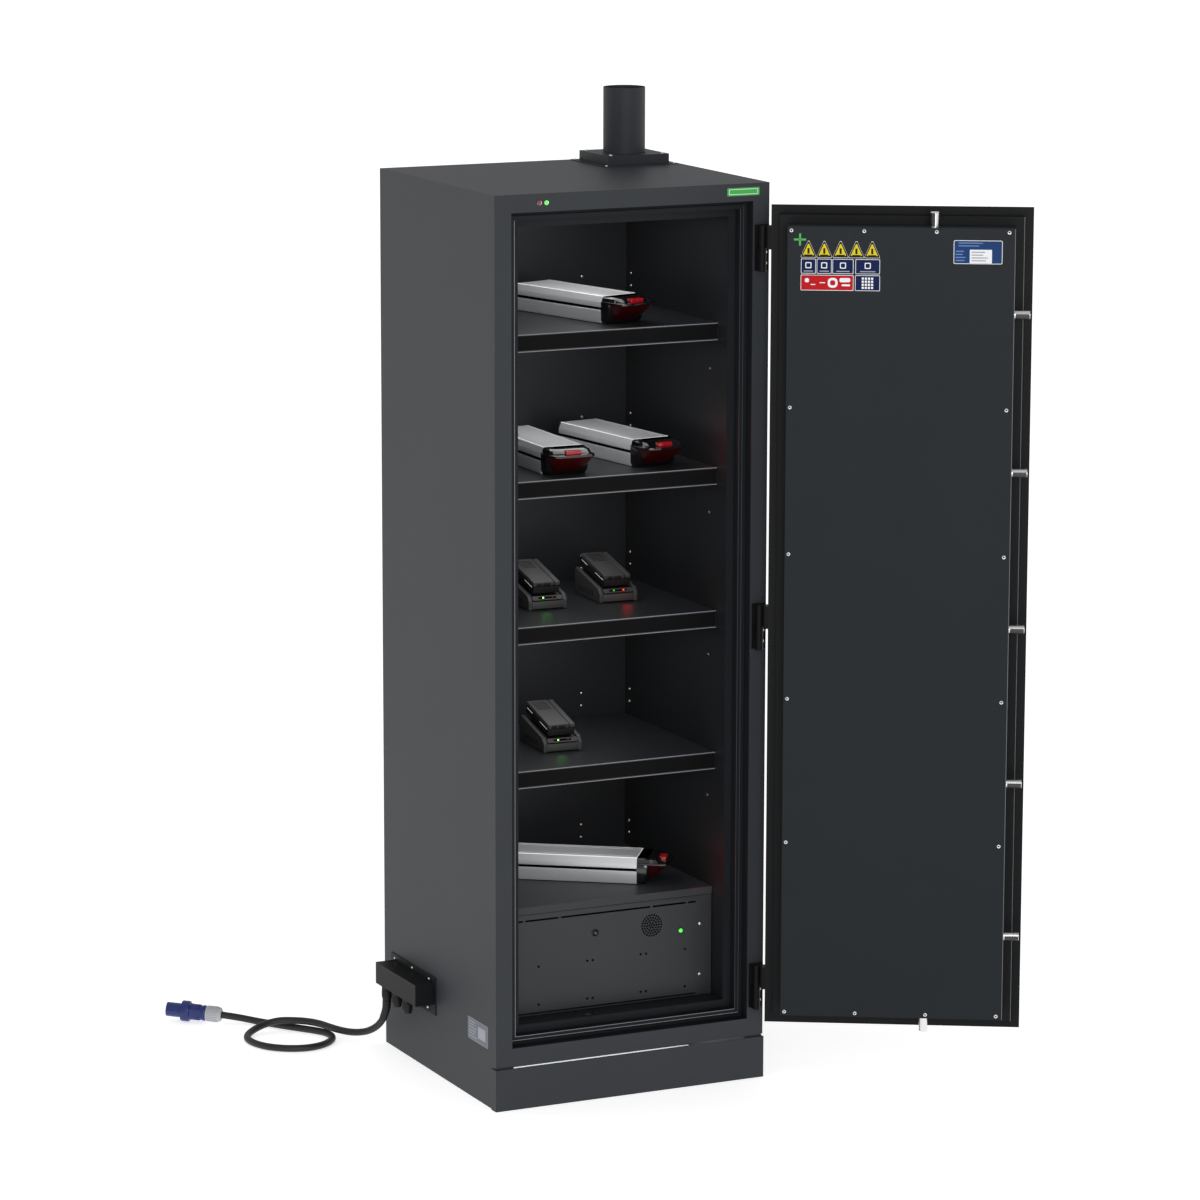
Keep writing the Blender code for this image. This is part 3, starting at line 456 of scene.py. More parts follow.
def strap_painted_light():
    """A pale band on the plinth's cross strap, seen through the slot above the plinth cover: painted light,
    standing in for the bright floor beyond the slot.
    """
    piece = Piece("strap_painted_light")
    piece.box((-0.28, -0.0306, 0.0048), (0.28, -0.0301, 0.0072), SLOT_LIGHT)
    piece.finish("cabinet")


def dress_cabinet():
    hinges = [f"hinge_{half}_{number}" for half in ("frame", "door") for number in (1, 2, 3)]
    for paint, width, names in (
        (POWDER, 0.0009, ("outer_casing", "plinth_frame", "plinth_cover")),
        (POWDER, 0.0006, ("exhaust_plate", "exhaust_flange", "exhaust_pipe")),
        (LINER, 0.0006, ("inner_liner",)),
        (UNIT_PAINT, 0.0005, ("service_casing",)),
        # The door's rim and step take a darker copy of its paint: painted shade, the cabinet's shadow on the
        # open door.
        (RIM_SHADE_PAINT, SKIN_ROUNDING, ("door_skin",)),
        (RIM_SHADE_PAINT, 0.001, ("door_core",)),
        (DOOR_PAINT, 0.001, ("door_panel",)),
        (HINGE_PAINT, 0.0006, hinges),
        (STEEL, 0.0008, ("side_boltwork", "top_bolt", "bottom_bolt")),
        (STEEL, 0.0002, ("lock_cylinder", "bolt_cam", "exhaust_flap")),
        (PLASTIC, 0.0003, ("control_module", "handle_rose")),
        # The fan in near-black: painted shade behind the grille.
        (RECESS_SHADE, 0.0003, ("fan_housing", "fan_impeller")),
        (SEAL, 0.0003, ("frame_seal",)),
        # The fire board's darkened grey is painted shade.
        (SHADED_BOARD, 0.0, ("insulation_jacket",)),
    ):
        for name in names:
            dress(name, paint, width)
    # The second paint on these edges' roundings is a painted highlight.
    dress("front_frame", FRAME_PAINT, 0.0011, EDGE_HIGHLIGHT)
    dress("inlet_box", INLET_PAINT, 0.0008, EDGE_HIGHLIGHT)
    dress("service_top", UNIT_PAINT, 0.0012, EDGE_HIGHLIGHT)
    for number in range(1, 5):
        dress(f"shelf_{number}", SHELF, 0.0013, EDGE_HIGHLIGHT, 3)


# --- cord and plug


def smooth_route(points, steps):
    """Points along one smooth curve through the route, with `steps` to each stretch."""
    route = [Vector(point) for point in points]
    padded = [2 * route[0] - route[1], *route, 2 * route[-1] - route[-2]]
    found = []
    for before, start, end, after in zip(padded, padded[1:], padded[2:], padded[3:]):
        for i in range(steps):
            t = i / steps
            pull = (end - before) * t + (2 * before - 5 * start + 4 * end - after) * t * t
            found.append(start + 0.5 * (pull + (3 * start - before - 3 * end + after) * t**3))
    return [*found, route[-1]]


def tube(name, points, radius, paint, taper=None):
    curve = bpy.data.curves.new(name, "CURVE")
    curve.dimensions = "3D"
    curve.bevel_depth = radius
    curve.bevel_resolution = 6
    curve.use_fill_caps = True
    spline = curve.splines.new("POLY")
    spline.points.add(len(points) - 1)
    for i, point in enumerate(points):
        spline.points[i].co = (*point, 1.0)
        if taper:
            spline.points[i].radius = taper(i / (len(points) - 1))
    spline.use_smooth = True
    curve.materials.append(paint)
    made = added(name, curve)
    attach(made, "cabinet")
    return made


def plug_place():
    heading = (
        math.cos(PLUG_HEADING) * math.cos(PLUG_RISE),
        math.sin(PLUG_HEADING) * math.cos(PLUG_RISE),
        math.sin(PLUG_RISE),
    )
    return facing(PLUG_TAIL, heading)


def plug_nut():
    nut = Piece("plug_nut_detail")
    place = plug_place()
    profile = (
        (0.0085, 0.012), (0.0085, 0.0006), (0.0128, 0.0), (0.0158, 0.002), (0.0172, 0.006),
        (0.0172, 0.032), (0.0165, 0.0368), (0.0, 0.0368),
    )
    nut.lathe(profile, GREY, place, 48)
    for turn in turns(24):
        nut.box((0.0165, -0.0011, 0.008), (0.0184, 0.0011, 0.0335), GREY, place @ turn, 0.0005)
    return nut.finish("cabinet", ["plug_nut"])


def plug_body():
    body = Piece("plug_body_detail")
    place = plug_place()
    shell = (
        (0.0, 0.0375), (0.0176, 0.0375), (0.018, 0.0382), (0.018, 0.0438), (0.0168, 0.0452),
        (0.0168, 0.047), (0.0174, 0.05), (0.0186, 0.068), (0.0196, 0.0735), (0.0232, 0.0752),
        (0.0239, 0.077), (0.0239, 0.092), (0.023, 0.094), (0.0168, 0.0955), (0.0164, 0.097),
        (0.0164, 0.1285), (0.0158, 0.1299), (0.0147, 0.1299), (0.0145, 0.1285), (0.0145, 0.1045),
        (0.0, 0.1045),
    )
    body.lathe(shell, BLUE, place, 64)
    for turn in turns(18, 0.5):
        body.box((0.0165, -0.001, 0.05), (0.0186, 0.001, 0.0715), BLUE, place @ turn, 0.0004)
    pin = ((0.0, 0.127), (0.0014, 0.127), (0.0022, 0.1258), (0.0024, 0.124), (0.0024, 0.104), (0.0, 0.104))
    for turn in turns(3):
        body.lathe(pin, BRASS, shifted(place @ turn, 0.0085, 0.0), 16)
    body.box((0.0155, -0.0022, 0.096), (0.0176, 0.0022, 0.1285), BLUE, place, 0.0005)
    return body.finish("cabinet", ["plug_body"])


def glands():
    """Three cable glands under the inlet box; the cord leaves the first, the others are blanked."""
    for number, y in enumerate(GLAND_YS, start=1):
        gland = Piece(f"gland_{number}_detail")
        place = Matrix.Translation((GLAND_X, y, INLET_BOTTOM - GAP)) @ Matrix.Rotation(math.pi, 4, "X")
        gland.lathe(((0.0, 0.0), (0.0124, 0.0), (0.0124, 0.003), (0.0085, 0.003)), PLASTIC, place, 24)
        corners = [math.pi / 3 * i for i in range(6)]
        hexagon = [(0.0123 * math.cos(corner), 0.0123 * math.sin(corner)) for corner in corners]
        gland.prism(hexagon, 0.003, 0.0105, PLASTIC, place, 0.0006)
        dome = [(0.009, 0.0105), (0.0111, 0.011), (0.0111, 0.027), (0.0104, 0.0315), (0.0094, 0.0355)]
        dome += [(0.0086, 0.0359), (0.0083, 0.034)] if number == 1 else [(0.006, 0.0359), (0.0, 0.034)]
        gland.lathe(dome, PLASTIC, place, 32)
        for turn in turns(16):
            gland.box((0.0108, -0.0009, 0.012), (0.0117, 0.0009, 0.027), PLASTIC, place @ turn, 0.0003)
        gland.finish("cabinet", [f"gland_{number}"])


def cord():
    points = smooth_route(CORD_ROUTE, 8)
    made = tube("mains_cord_detail", points, CORD_DIAMETER / 2, SHEATH)
    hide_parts("mains_cord")
    boot = smooth_route(CORD_ROUTE[1:4], 10)
    relief = tube("strain_relief", boot, CORD_DIAMETER / 2, PLASTIC, lambda share: 1.28 - 0.2 * share)
    plug_nut()
    plug_body()


# --- fittings


def door_point(u, drop):
    """A point on the shut door's inner face, u from the hinge-side rim and `drop` below the rim's top."""
    return Vector((RIM_HALF_W - u, PANEL_FACE, RIM_TOP - drop))


PANEL_SCREW_US = (0.0466, 0.2013, 0.3552, 0.5092)
PANEL_SCREW_DROPS = (0.4267, 0.7459, 1.0646, 1.384)
BOLT_R = 0.0095
BOLT_HEIGHTS = (0.364, 0.7057, 1.0473, 1.389, 1.7306)
BOLT_DEPTH = 0.066
END_BOLT_X = -0.07


def door_screws():
    piece = Piece("door_screws")
    last = RIM_TOP - RIM_BOTTOM - 0.047
    spots = [(u, drop) for drop in (0.0458, last) for u in PANEL_SCREW_US]
    spots += [(u, drop) for drop in PANEL_SCREW_DROPS for u in (PANEL_SCREW_US[0], PANEL_SCREW_US[-1])]
    for u, drop in spots:
        screw_head(piece, DOOR @ facing(door_point(u, drop), (0, 1, 0)), 0.0046)
    piece.finish("door")


def half_skin(start, sweep):
    """Part of a thin ring round a bolt, as an outline in the plane across it."""
    angles = [math.radians(start + sweep * step / 12) for step in range(13)]
    outer = BOLT_R + 0.0002
    inner = BOLT_R - 0.0004
    there = [(outer * math.cos(angle), outer * math.sin(angle)) for angle in angles]
    return there + [(inner * math.cos(angle), inner * math.sin(angle)) for angle in reversed(angles)]


def bolt_shades():
    """Painted shade and reflection on half of each bright bolt: underneath on the side bolts, towards the
    hinge on the top one.
    """
    piece = Piece("side_bolt_shades")
    for z in BOLT_HEIGHTS:
        place = shifted(DOOR, 0.0, FRONT + BOLT_DEPTH, z) @ SIDEWAYS
        piece.prism(half_skin(195, 180), 0.006 - RIM_HALF_W, 0.036 - RIM_HALF_W, STEEL_SHADE, place)
    piece.finish("side_bolts")
    piece = Piece("top_bolt_shade")
    place = shifted(DOOR, END_BOLT_X, FRONT + BOLT_DEPTH)
    piece.prism(half_skin(-80, 175), RIM_TOP - 0.036, RIM_TOP - 0.007, STEEL_SHADE, place)
    piece.finish("upper_bolt")


def wall_screws():
    piece = Piece("wall_screws")
    for top in (UNIT_TOP, *SHELF_TOPS):
        for rise in (0.054, 0.025):
            for x in (-0.139, 0.139):
                screw_head(piece, facing((x, LINER_BACK, top + rise), AHEAD), 0.0035)
        for rise in (0.059, 0.031):
            for side in (-1, 1):
                place = facing((side * LINER_X, FRONT + 0.526, top + rise), (-side, 0, 0))
                screw_head(piece, place, 0.0035)
    for top in SHELF_TOPS:
        for side in (-1, 1):
            place = facing((side * LINER_X, FRONT + 0.129, top - 0.105), (-side, 0, 0))
            screw_head(piece, place, 0.0035, DULL_ZINC)
    piece.finish("cabinet")


# One printed layer's thickness
FILM = 0.0002


def plate(piece, place, width, height, paint, radius=0.0015, thickness=0.0003, lift=0.0):
    """A thin label lying on the surface at `place`, width along its X and height along its Y."""
    piece.prism(rounded_outline(width / 2, height / 2, radius), lift, lift + thickness, paint, place)


def triangle(piece, place, width, height, paint, lift):
    """A small plain triangle with blunt corners."""
    nip = width * 0.05
    half = width / 2
    low = -height / 2
    right = [(half - nip, low), (half, low + nip), (nip, -low)]
    points = right + [(-x, y) for x, y in reversed(right)]
    piece.prism(points, lift, lift + FILM, paint, place)


def framed(piece, place, width, height, paint, radius=0.0018):
    """A label with a thin pale border."""
    plate(piece, place, width, height, LABEL_WHITE, radius)
    plate(piece, place, width - 0.0022, height - 0.0022, paint, radius * 0.7, FILM, FILM)


def on_door(u, drop):
    """A place on the door's inner face whose +X runs away from the hinge as the open door shows it."""
    turn = Matrix(((-1, 0, 0, 0), (0, 0, 1, 0), (0, 1, 0, 0), (0, 0, 0, 1)))
    return DOOR @ Matrix.Translation(door_point(u, drop)) @ turn


def hazard_row(piece):
    """Five plain triangles, each with a pale edge, a dark line and a dark foot."""
    for u in (0.0834, 0.117, 0.1517, 0.1853, 0.2189):
        spot = on_door(u, 0.0857)
        triangle(piece, spot, 0.0334, 0.0356, LABEL_WHITE, 0.0)
        triangle(piece, shifted(spot, 0.0, -0.0002), 0.0318, 0.0336, LABEL_DARK, 0.0002)
        triangle(piece, shifted(spot, 0.0, -0.0008), 0.0236, 0.025, LABEL_YELLOW, 0.0004)
        plate(piece, shifted(spot, 0.0, -0.0135), 0.018, 0.0046, LABEL_DARK, 0.0008, FILM, 0.0005)
        plate(piece, shifted(spot, 0.0, -0.0035), 0.0046, 0.012, LABEL_DARK, 0.0012, FILM, 3 * FILM)


def notice_row(piece):
    """Plain blue and red boxes with pale borders, in two rows under the triangles."""
    for low, high in ((0.0672, 0.0997), (0.1008, 0.1332), (0.1343, 0.1798), (0.1831, 0.2362)):
        spot = on_door((low + high) / 2, 0.1219)
        framed(piece, spot, high - low - 0.0008, 0.0318, LABEL_BLUE)
        plate(piece, shifted(spot, 0.0, 0.002), 0.013, 0.013, LABEL_WHITE, 0.002, FILM, 2 * FILM)
        plate(piece, shifted(spot, 0.0, 0.002), 0.009, 0.009, LABEL_BLUE, 0.0015, FILM, 0.0005)
        foot = shifted(spot, 0.0, -0.0105)
        plate(piece, foot, (high - low) * 0.62, 0.0022, LABEL_GREY, 0.0006, FILM, 2 * FILM)
    red = on_door(0.1235, 0.1571)
    framed(piece, red, 0.1126, 0.0335, LABEL_RED)
    for along, up, width, height in (
        (-0.043, 0.005, 0.009, 0.009),
        (-0.03, -0.004, 0.01, 0.002),
        (-0.01, 0.0, 0.012, 0.002),
        (0.012, 0.0, 0.021, 0.021),
        (0.038, 0.006, 0.023, 0.009),
        (0.04, -0.005, 0.018, 0.004),
    ):
        mark = shifted(red, along, up)
        plate(piece, mark, width, height, LABEL_WHITE, min(width, height) * 0.4, FILM, 2 * FILM)
    plate(piece, shifted(red, 0.012, 0.0), 0.011, 0.011, LABEL_RED, 0.004, FILM, 0.0005)
    last = on_door(0.2096, 0.1571)
    framed(piece, last, 0.0531, 0.0335, LABEL_BLUE)
    for column in range(4):
        for row in range(4):
            spot = shifted(last, -0.01 + 0.0066 * column, -0.01 + 0.0066 * row)
            plate(piece, spot, 0.0046, 0.0046, LABEL_WHITE, 0.0004, FILM, 2 * FILM)


def type_plate(piece):
    """The blue plate at the door's free upper corner, with a pale panel and bars in place of print."""
    spot = on_door(0.4434, 0.0883)
    plate(piece, spot, 0.1036, 0.0504, LABEL_WHITE, 0.003, 0.0005)
    plate(piece, spot, 0.101, 0.0478, PLATE_BLUE, 0.0022, FILM, 0.0005)
    panel = shifted(spot, 0.006, -0.009)
    plate(piece, panel, 0.047, 0.029, LABEL_WHITE, 0.0006, FILM, 3 * FILM)
    bars(piece, shifted(panel, 0.0, 0.0, 0.0005), 0.04, 0.024, 4, LABEL_GREY)
    bars(piece, shifted(spot, -0.006, 0.0165, 0.0005), 0.072, 0.012, 2, PRINT_BLUE)
    bars(piece, shifted(spot, -0.0355, -0.008, 0.0005), 0.024, 0.026, 4, PRINT_BLUE)


def door_labels():
    piece = Piece("door_labels")
    hazard_row(piece)
    notice_row(piece)
    type_plate(piece)
    sign = on_door(0.0651, 0.0652)
    plate(piece, sign, 0.026, 0.0042, BADGE_GREEN, 0.0004)
    plate(piece, sign, 0.0042, 0.026, BADGE_GREEN, 0.0004)
    piece.finish("door")


def bars(piece, place, width, height, rows, paint):
    """Plain bars of unequal length that stand in for lines of print."""
    pitch = height / rows
    for row in range(rows):
        length = width * (0.62 + 0.36 * ((row * 5 + 2) % 7) / 7)
        y = height / 2 - pitch * (row + 0.5)
        spot = shifted(place, (length - width) / 2, y, 0.0003)
        plate(piece, spot, length, pitch * 0.38, paint, pitch * 0.12, 0.0001)


def side_label():
    """The rating plate low on the left side: a pale square on a grey field, with bars in place of print."""
    piece = Piece("rating_label")
    wall = Matrix(((0, 0, -1, -SIDE), (-1, 0, 0, 0), (0, 1, 0, 0), (0, 0, 0, 1)))
    middle = Matrix.Translation((0.0, FRONT + 0.095, 0.1555)) @ wall
    plate(piece, middle, 0.106, 0.049, LABEL_GREY)
    plate(piece, middle, 0.1035, 0.0465, LABEL_SILVER, 0.0012, FILM, FILM)
    bars(piece, shifted(middle, -0.024, 0.0, 0.0001), 0.046, 0.04, 6, LABEL_GREY)
    plate(piece, shifted(middle, 0.021, 0.0), 0.038, 0.026, LABEL_PALE, 0.0008, FILM, 2 * FILM)
    piece.finish("cabinet")


def front_badge():
    piece = Piece("front_badge")
    place = facing((0.2618, FRONT, 1.9783), AHEAD)
    plate(piece, place, 0.0776, 0.0175, BADGE_GREEN, 0.002, 0.0006)
    plate(piece, place, 0.07, 0.012, LABEL_WHITE, 0.0015, 0.0004, 0.0004)
    plate(piece, place, 0.067, 0.0092, BADGE_GREEN, 0.001, 0.0004, 0.0006)
    piece.finish("cabinet")


def status_lamps():
    for name, glass in (("lamp_red", RED_LENS), ("lamp_green", GREEN_LENS)):
        low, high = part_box(name)
        place = facing(((low.x + high.x) / 2, FRONT, (low.z + high.z) / 2), AHEAD)
        piece = Piece(name + "_detail")
        bezel = ((0.0043, 0.0016), (0.005, 0.0021), (0.0056, 0.0013), (0.0057, GAP), (0.0043, GAP))
        dome = ((0.0, 0.0042), (0.0024, 0.0036), (0.004, 0.0021), (0.0043, 0.001), (0.0, 0.001))
        piece.lathe(bezel, STEEL, place, 32)
        piece.lathe(dome, glass, place)
        piece.finish("cabinet", [name])


def leaf_screws(name, leaf, xs, shares, place, body):
    """Screws in the three hinges' leaves, in columns at `xs` and at shares of each leaf's height."""
    piece = Piece(name)
    for number in range(1, 4):
        low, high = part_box(f"{leaf}_{number}")
        for x in xs:
            for share in shares:
                z = low.z + (high.z - low.z) * share
                screw_head(piece, place @ facing((x, FRONT - 0.0033, z), AHEAD), 0.0036)
    piece.finish(body)


def hinge_screws():
    leaf_screws("hinge_screws", "hinge_frame", (0.315,), (0.16, 0.4, 0.84), Matrix(), "cabinet")
    leaf_screws("hinge_leaf_screws", "hinge_door", (0.244, 0.264), (0.25, 0.75), DOOR, "door")


def inlet_screws():
    piece = Piece("inlet_screws")
    for y, z in ((0.2438, 0.2113), (0.1452, 0.2135), (0.051, 0.2113), (0.0575, 0.1452), (0.23, 0.1452)):
        screw_head(piece, facing((-SIDE - 0.0023, y, z), (-1, 0, 0)), 0.0034)
    piece.finish("cabinet")


def exhaust_screws():
    piece = Piece("exhaust_screws")
    for name, inset, radius in (("exhaust_flange", 0.012, 0.004), ("exhaust_plate", 0.007, 0.0032)):
        low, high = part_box(name)
        for x in (low.x + inset, high.x - inset):
            for y in (low.y + inset, high.y - inset):
                screw_head(piece, facing((x, y, high.z), (0, 0, 1)), radius)
    piece.finish("cabinet")


# --- service unit


def service_cover():
    """The front panel: its two long slots, its grille and its pairs of small holes."""
    low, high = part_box("service_cover")
    cover = Piece("service_cover_detail")
    cover.box(low, high, UNIT_PAINT, None, 0.0004)
    made = cover.finish("cabinet", ["service_cover"])
    holes = Piece("cover_holes")
    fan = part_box("fan_housing")
    centre = (fan[0] + fan[1]) / 2
    spots = [(centre.x, centre.z, 0.0019)]
    for ring in range(1, 5):
        for i in range(6 * ring):
            angle = math.pi * i / (3 * ring)
            radius = 0.0059 * ring
            spots.append((centre.x + radius * math.cos(angle), centre.z + radius * math.sin(angle), 0.0019))
    for z in (0.2844, 0.1984):
        spots += [(x, z, 0.0023) for x in (-0.176, -0.0578, -0.0446, 0.073, 0.0862, 0.1825)]
    for x, z, radius in spots:
        drill = ((0.0, low.y - 0.01), (radius, low.y - 0.01), (radius, high.y + 0.01), (0.0, high.y + 0.01))
        turn = Matrix(((1, 0, 0, x), (0, 0, 1, 0), (0, -1, 0, z), (0, 0, 0, 1)))
        holes.lathe(drill, RECESS_SHADE, turn, 10)
    for bottom, top in COVER_SLOTS:
        holes.box((COVER_SLOT_X[0], low.y - 0.01, bottom), (COVER_SLOT_X[1], high.y + 0.01, top), RECESS_SHADE)
    # Near-black rings round the cover's holes: painted shade at their edges.
    rims = Piece("cover_hole_shades")
    for x, z, radius in spots:
        wide = radius + 0.0005
        rim = ((radius, 0.0), (radius, 0.0002), (wide, 0.0002), (wide, 0.0), (radius, 0.0))
        rims.lathe(rim, RECESS_SHADE, facing((x, low.y, z), AHEAD), 12)
    rims.finish("cabinet")
    cutter = holes.finish("cabinet")
    step = made.modifiers.new("Holes", "BOOLEAN")
    step.solver = "EXACT"
    step.object = cutter
    bpy.context.view_layer.update()
    cut = bpy.data.meshes.new_from_object(made.evaluated_get(bpy.context.evaluated_depsgraph_get()))
    made.modifiers.clear()
    made.data = cut
    cut.set_sharp_from_angle(angle=SMOOTH_BELOW)
    bpy.data.objects.remove(cutter, do_unlink=True)


def unit_fittings():
    low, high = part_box("service_cover")
    piece = Piece("unit_fittings")
    for z in (0.3386, 0.2225):
        screw_head(piece, facing((0.219, low.y, z), AHEAD), 0.0044)
    bottom, top = COVER_SLOTS[1]
    for x in (-0.2106, -0.1246, 0.0993, 0.1864):
        piece.box((x - 0.003, low.y + 0.0004, bottom), (x + 0.003, high.y, top), UNIT_PAINT)
    piece.finish("cabinet")
    for name, glass in (("sensor_dome", GLOSS_PLASTIC), ("unit_lamp", GREEN_LENS)):
        box_low, box_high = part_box(name)
        place = facing(((box_low.x + box_high.x) / 2, box_high.y, (box_low.z + box_high.z) / 2), AHEAD)
        radius = (box_high.x - box_low.x) / 2
        tall = box_high.y - box_low.y
        head = Piece(name + "_detail")
        rim = ((0.74, 0.3), (0.82, 0.42), (0.97, 0.25), (1.0, 0.0))
        head.lathe([(radius * out, tall * up) for out, up in rim], GLOSS_PLASTIC, place, 32)
        angles = [i * math.pi / 16 for i in range(9)]
        dome = [(radius * 0.76 * math.sin(a), tall * (0.3 + 0.69 * math.cos(a))) for a in angles]
        head.lathe(dome, glass, place, 32)
        head.finish("cabinet", [name])


# --- battery packs

UPRIGHT = Matrix(((1, 0, 0, 0), (0, 0, 1, 0), (0, 1, 0, 0), (0, 0, 0, 1)))
PACK_BODY_L = 0.295
PACKS = (
    (0.0596, -0.1131, SHELF_TOPS[3], 105.0),
    (-0.0888, -0.1418, SHELF_TOPS[2], 89.0),
    (0.1327, -0.1213, SHELF_TOPS[2], 97.5),
    (0.1327, -0.0784, UNIT_TOP, 145.0),
)


def standing(x, y, z, heading):
    """A frame on a shelf whose +Y points the way that the thing's length runs."""
    return Matrix.Translation((x, y, z + GAP)) @ Matrix.Rotation(math.radians(heading - 90), 4, "Z")


def pack_profile():
    """The extrusion's outline, right half from the bottom up, then mirrored."""
    half = (
        (0.049, 0.0003), (0.0515, 0.0012), (0.0523, 0.004), (0.0523, 0.0285), (0.0515, 0.0292),
        (0.048, 0.0295), (0.048, 0.035), (0.0515, 0.0353), (0.0523, 0.036), (0.0523, 0.0452),
        (0.0516, 0.047), (0.0462, 0.0588), (0.0445, 0.0597), (0.033, 0.0597), (0.0325, 0.0592),
        (0.0315, 0.0592), (0.031, 0.0597),
    )
    return half + tuple((-x, z) for x, z in reversed(half))


def nose_outline(half_w, length):
    """The lamp end seen from above, from its right rear corner round the tip to its left one."""
    shares = ((1.0, 0.0), (1.0, 0.5), (0.97, 0.76), (0.88, 0.91), (0.72, 0.98), (0.35, 1.0))
    right = [(half_w * across, -length * ahead) for across, ahead in shares]
    return right + [(-x, y) for x, y in reversed(right)]


def nose_layers(piece, layers, paint, place):
    """A solid through level outlines, each given as (height, half width, length)."""
    rings = [[(x, y, height) for x, y in nose_outline(half_w, length)] for height, half_w, length in layers]
    piece.loft(rings, paint, place)


def pack_nose(piece, place):
    """A black collar, a deep red lens that rises to the tip, a black blade, a low hood and a red patch."""
    collar = ((0.0006, 0.049, 0.02), (0.008, 0.0521, 0.026), (0.043, 0.0523, 0.034), (0.059, 0.0455, 0.026))
    nose_layers(piece, collar, GLOSS_PLASTIC, shifted(place, 0.0, 0.0014))
    lens_body = ((0.006, 0.033, 0.024), (0.018, 0.04, 0.04), (0.032, 0.0465, 0.058), (0.0436, 0.05, 0.068))
    nose_layers(piece, lens_body, DEEP_LENS, place)
    piece.prism(nose_outline(0.0528, 0.0715), 0.0434, 0.0482, GLOSS_PLASTIC, place, 0.0014)
    hood = ((0.048, 0.05, 0.058), (0.056, 0.048, 0.048), (0.059, 0.044, 0.024))
    nose_layers(piece, hood, GLOSS_PLASTIC, place)
    piece.box((-0.018, -0.06, 0.048), (0.018, -0.044, 0.0568), RED_STRIP, place, 0.0018)


def battery_pack(number, x, y, z, heading):
    place = standing(x, y, z, heading)
    piece = Piece(f"pack_{number}_detail")
    end = PACK_BODY_L - 0.004
    ridge = ((0.0455, 0.0582), (0.0466, 0.0586), (0.0455, 0.0598), (0.044, 0.0598))
    piece.prism(pack_profile(), 0.0, end, ALUMINIUM, place @ UPRIGHT)
    for side in (-1, 1):
        strip = sorted((side * 0.0479, side * 0.0517))
        # Each side gets a near-black strip over its groove, painted shade, and a glowing strip on its ridge,
        # a painted highlight.
        piece.box((strip[0], 0.0, 0.0296), (strip[1], end, 0.0349), RECESS_SHADE, place)
        piece.prism([(side * x, z) for x, z in ridge], 0.0, end, EDGE_GLINT, place @ UPRIGHT)
    # A glowing strip on the top front edge: painted highlight.
    piece.box((-0.044, -0.0002, 0.058), (0.044, 0.0012, 0.0599), EDGE_GLINT, place)
    tail = rounded_outline(0.0518, 0.0296, 0.006)
    lifted = shifted(place, 0.0, 0.0, 0.03) @ UPRIGHT
    piece.prism(tail, end, PACK_BODY_L - 0.0003, PLASTIC, lifted, 0.0008)
    pack_nose(piece, place)
    piece.finish(f"battery_pack_{number}", [f"pack_{number}"])


# --- chargers and tool batteries

CHARGER_L = 0.145
CHARGER_FRONT_H = 0.02
DOCK_START = 0.012
DOCK_H = 0.033
DOCK_TILT = math.radians(12.0)
CHARGERS = (
    (-0.0562, -0.0745, SHELF_TOPS[0], 86.7),
    (-0.0834, -0.0546, SHELF_TOPS[1], 87.3),
    (0.0949, -0.0422, SHELF_TOPS[1], 87.5),
)
RED_CHARGER = 3
LED_OFFSETS = (-0.01, 0.013)


def charger(number, x, y, z, heading):
    place = standing(x, y, z, heading)
    piece = Piece(f"charger_{number}_detail")
    rise = math.tan(DOCK_TILT)
    back = DOCK_H + (CHARGER_L - DOCK_START) * rise
    end = CHARGER_L - 0.0005
    flank = (
        (0.0005, 0.0006),
        (end, 0.0006),
        (end, back - 0.013),
        (CHARGER_L - 0.007, back - 0.007 * rise - 0.0006),
        (DOCK_START, DOCK_H - 0.0006),
        (0.0005, CHARGER_FRONT_H),
    )
    for side in (-1, 1):
        span = sorted((side * 0.0457, side * 0.0365))
        piece.prism(flank, span[0], span[1], TOOL_GREY, place @ SIDEWAYS, 0.0016, 3)
    sunk = (
        (0.003, 0.0015),
        (CHARGER_L - 0.003, 0.0015),
        (CHARGER_L - 0.003, back - 0.02),
        (CHARGER_L - 0.01, back - 0.0115),
        (DOCK_START + 0.018, DOCK_H + 0.001),
        (DOCK_START + 0.004, DOCK_H - 0.005),
        (0.003, CHARGER_FRONT_H - 0.001),
    )
    piece.prism(sunk, -0.037, 0.037, PLASTIC, place @ SIDEWAYS, 0.001)
    rim = CHARGER_FRONT_H - 0.001
    front = ((0.0006, 0.003), (0.006, 0.003), (0.006, rim), (0.0006, rim))
    piece.prism(front, -0.0367, 0.0367, TOOL_GREY, place @ SIDEWAYS, 0.0008)
    slope = math.atan2(DOCK_H - CHARGER_FRONT_H, DOCK_START)
    panel = shifted(place, 0.0, 0.0054, 0.0254) @ Matrix.Rotation(slope, 4, "X")
    plate(piece, panel, 0.07, 0.011, TOOL_GREY, 0.002, 0.0012)
    plate(piece, shifted(panel, 0.0, 0.0, 0.0011), 0.042, 0.0046, RECESS_SHADE, 0.0015, 0.0004)
    leds = (GREEN_LENS, RED_LED) if number == RED_CHARGER else (GREEN_LED, RED_LENS)
    for offset, led in zip(LED_OFFSETS, leds):
        bead = ((0.0, 0.0034), (0.0012, 0.003), (0.0017, 0.0018), (0.0018, 0.001))
        piece.lathe(bead, led, shifted(panel, offset, 0.0), 12)
    # Near-black vent slots: painted shade.
    for side in (-1, 1):
        slot_x = sorted((side * 0.0458, side * 0.0447))
        for i in range(7):
            y_slot = 0.04 + 0.012 * i
            low = (slot_x[0], y_slot, 0.01)
            piece.box(low, (slot_x[1], y_slot + 0.0035, 0.022), RECESS_SHADE, place, 0.0003)
    piece.finish(f"charger_body_{number}", [f"charger_{number}"])


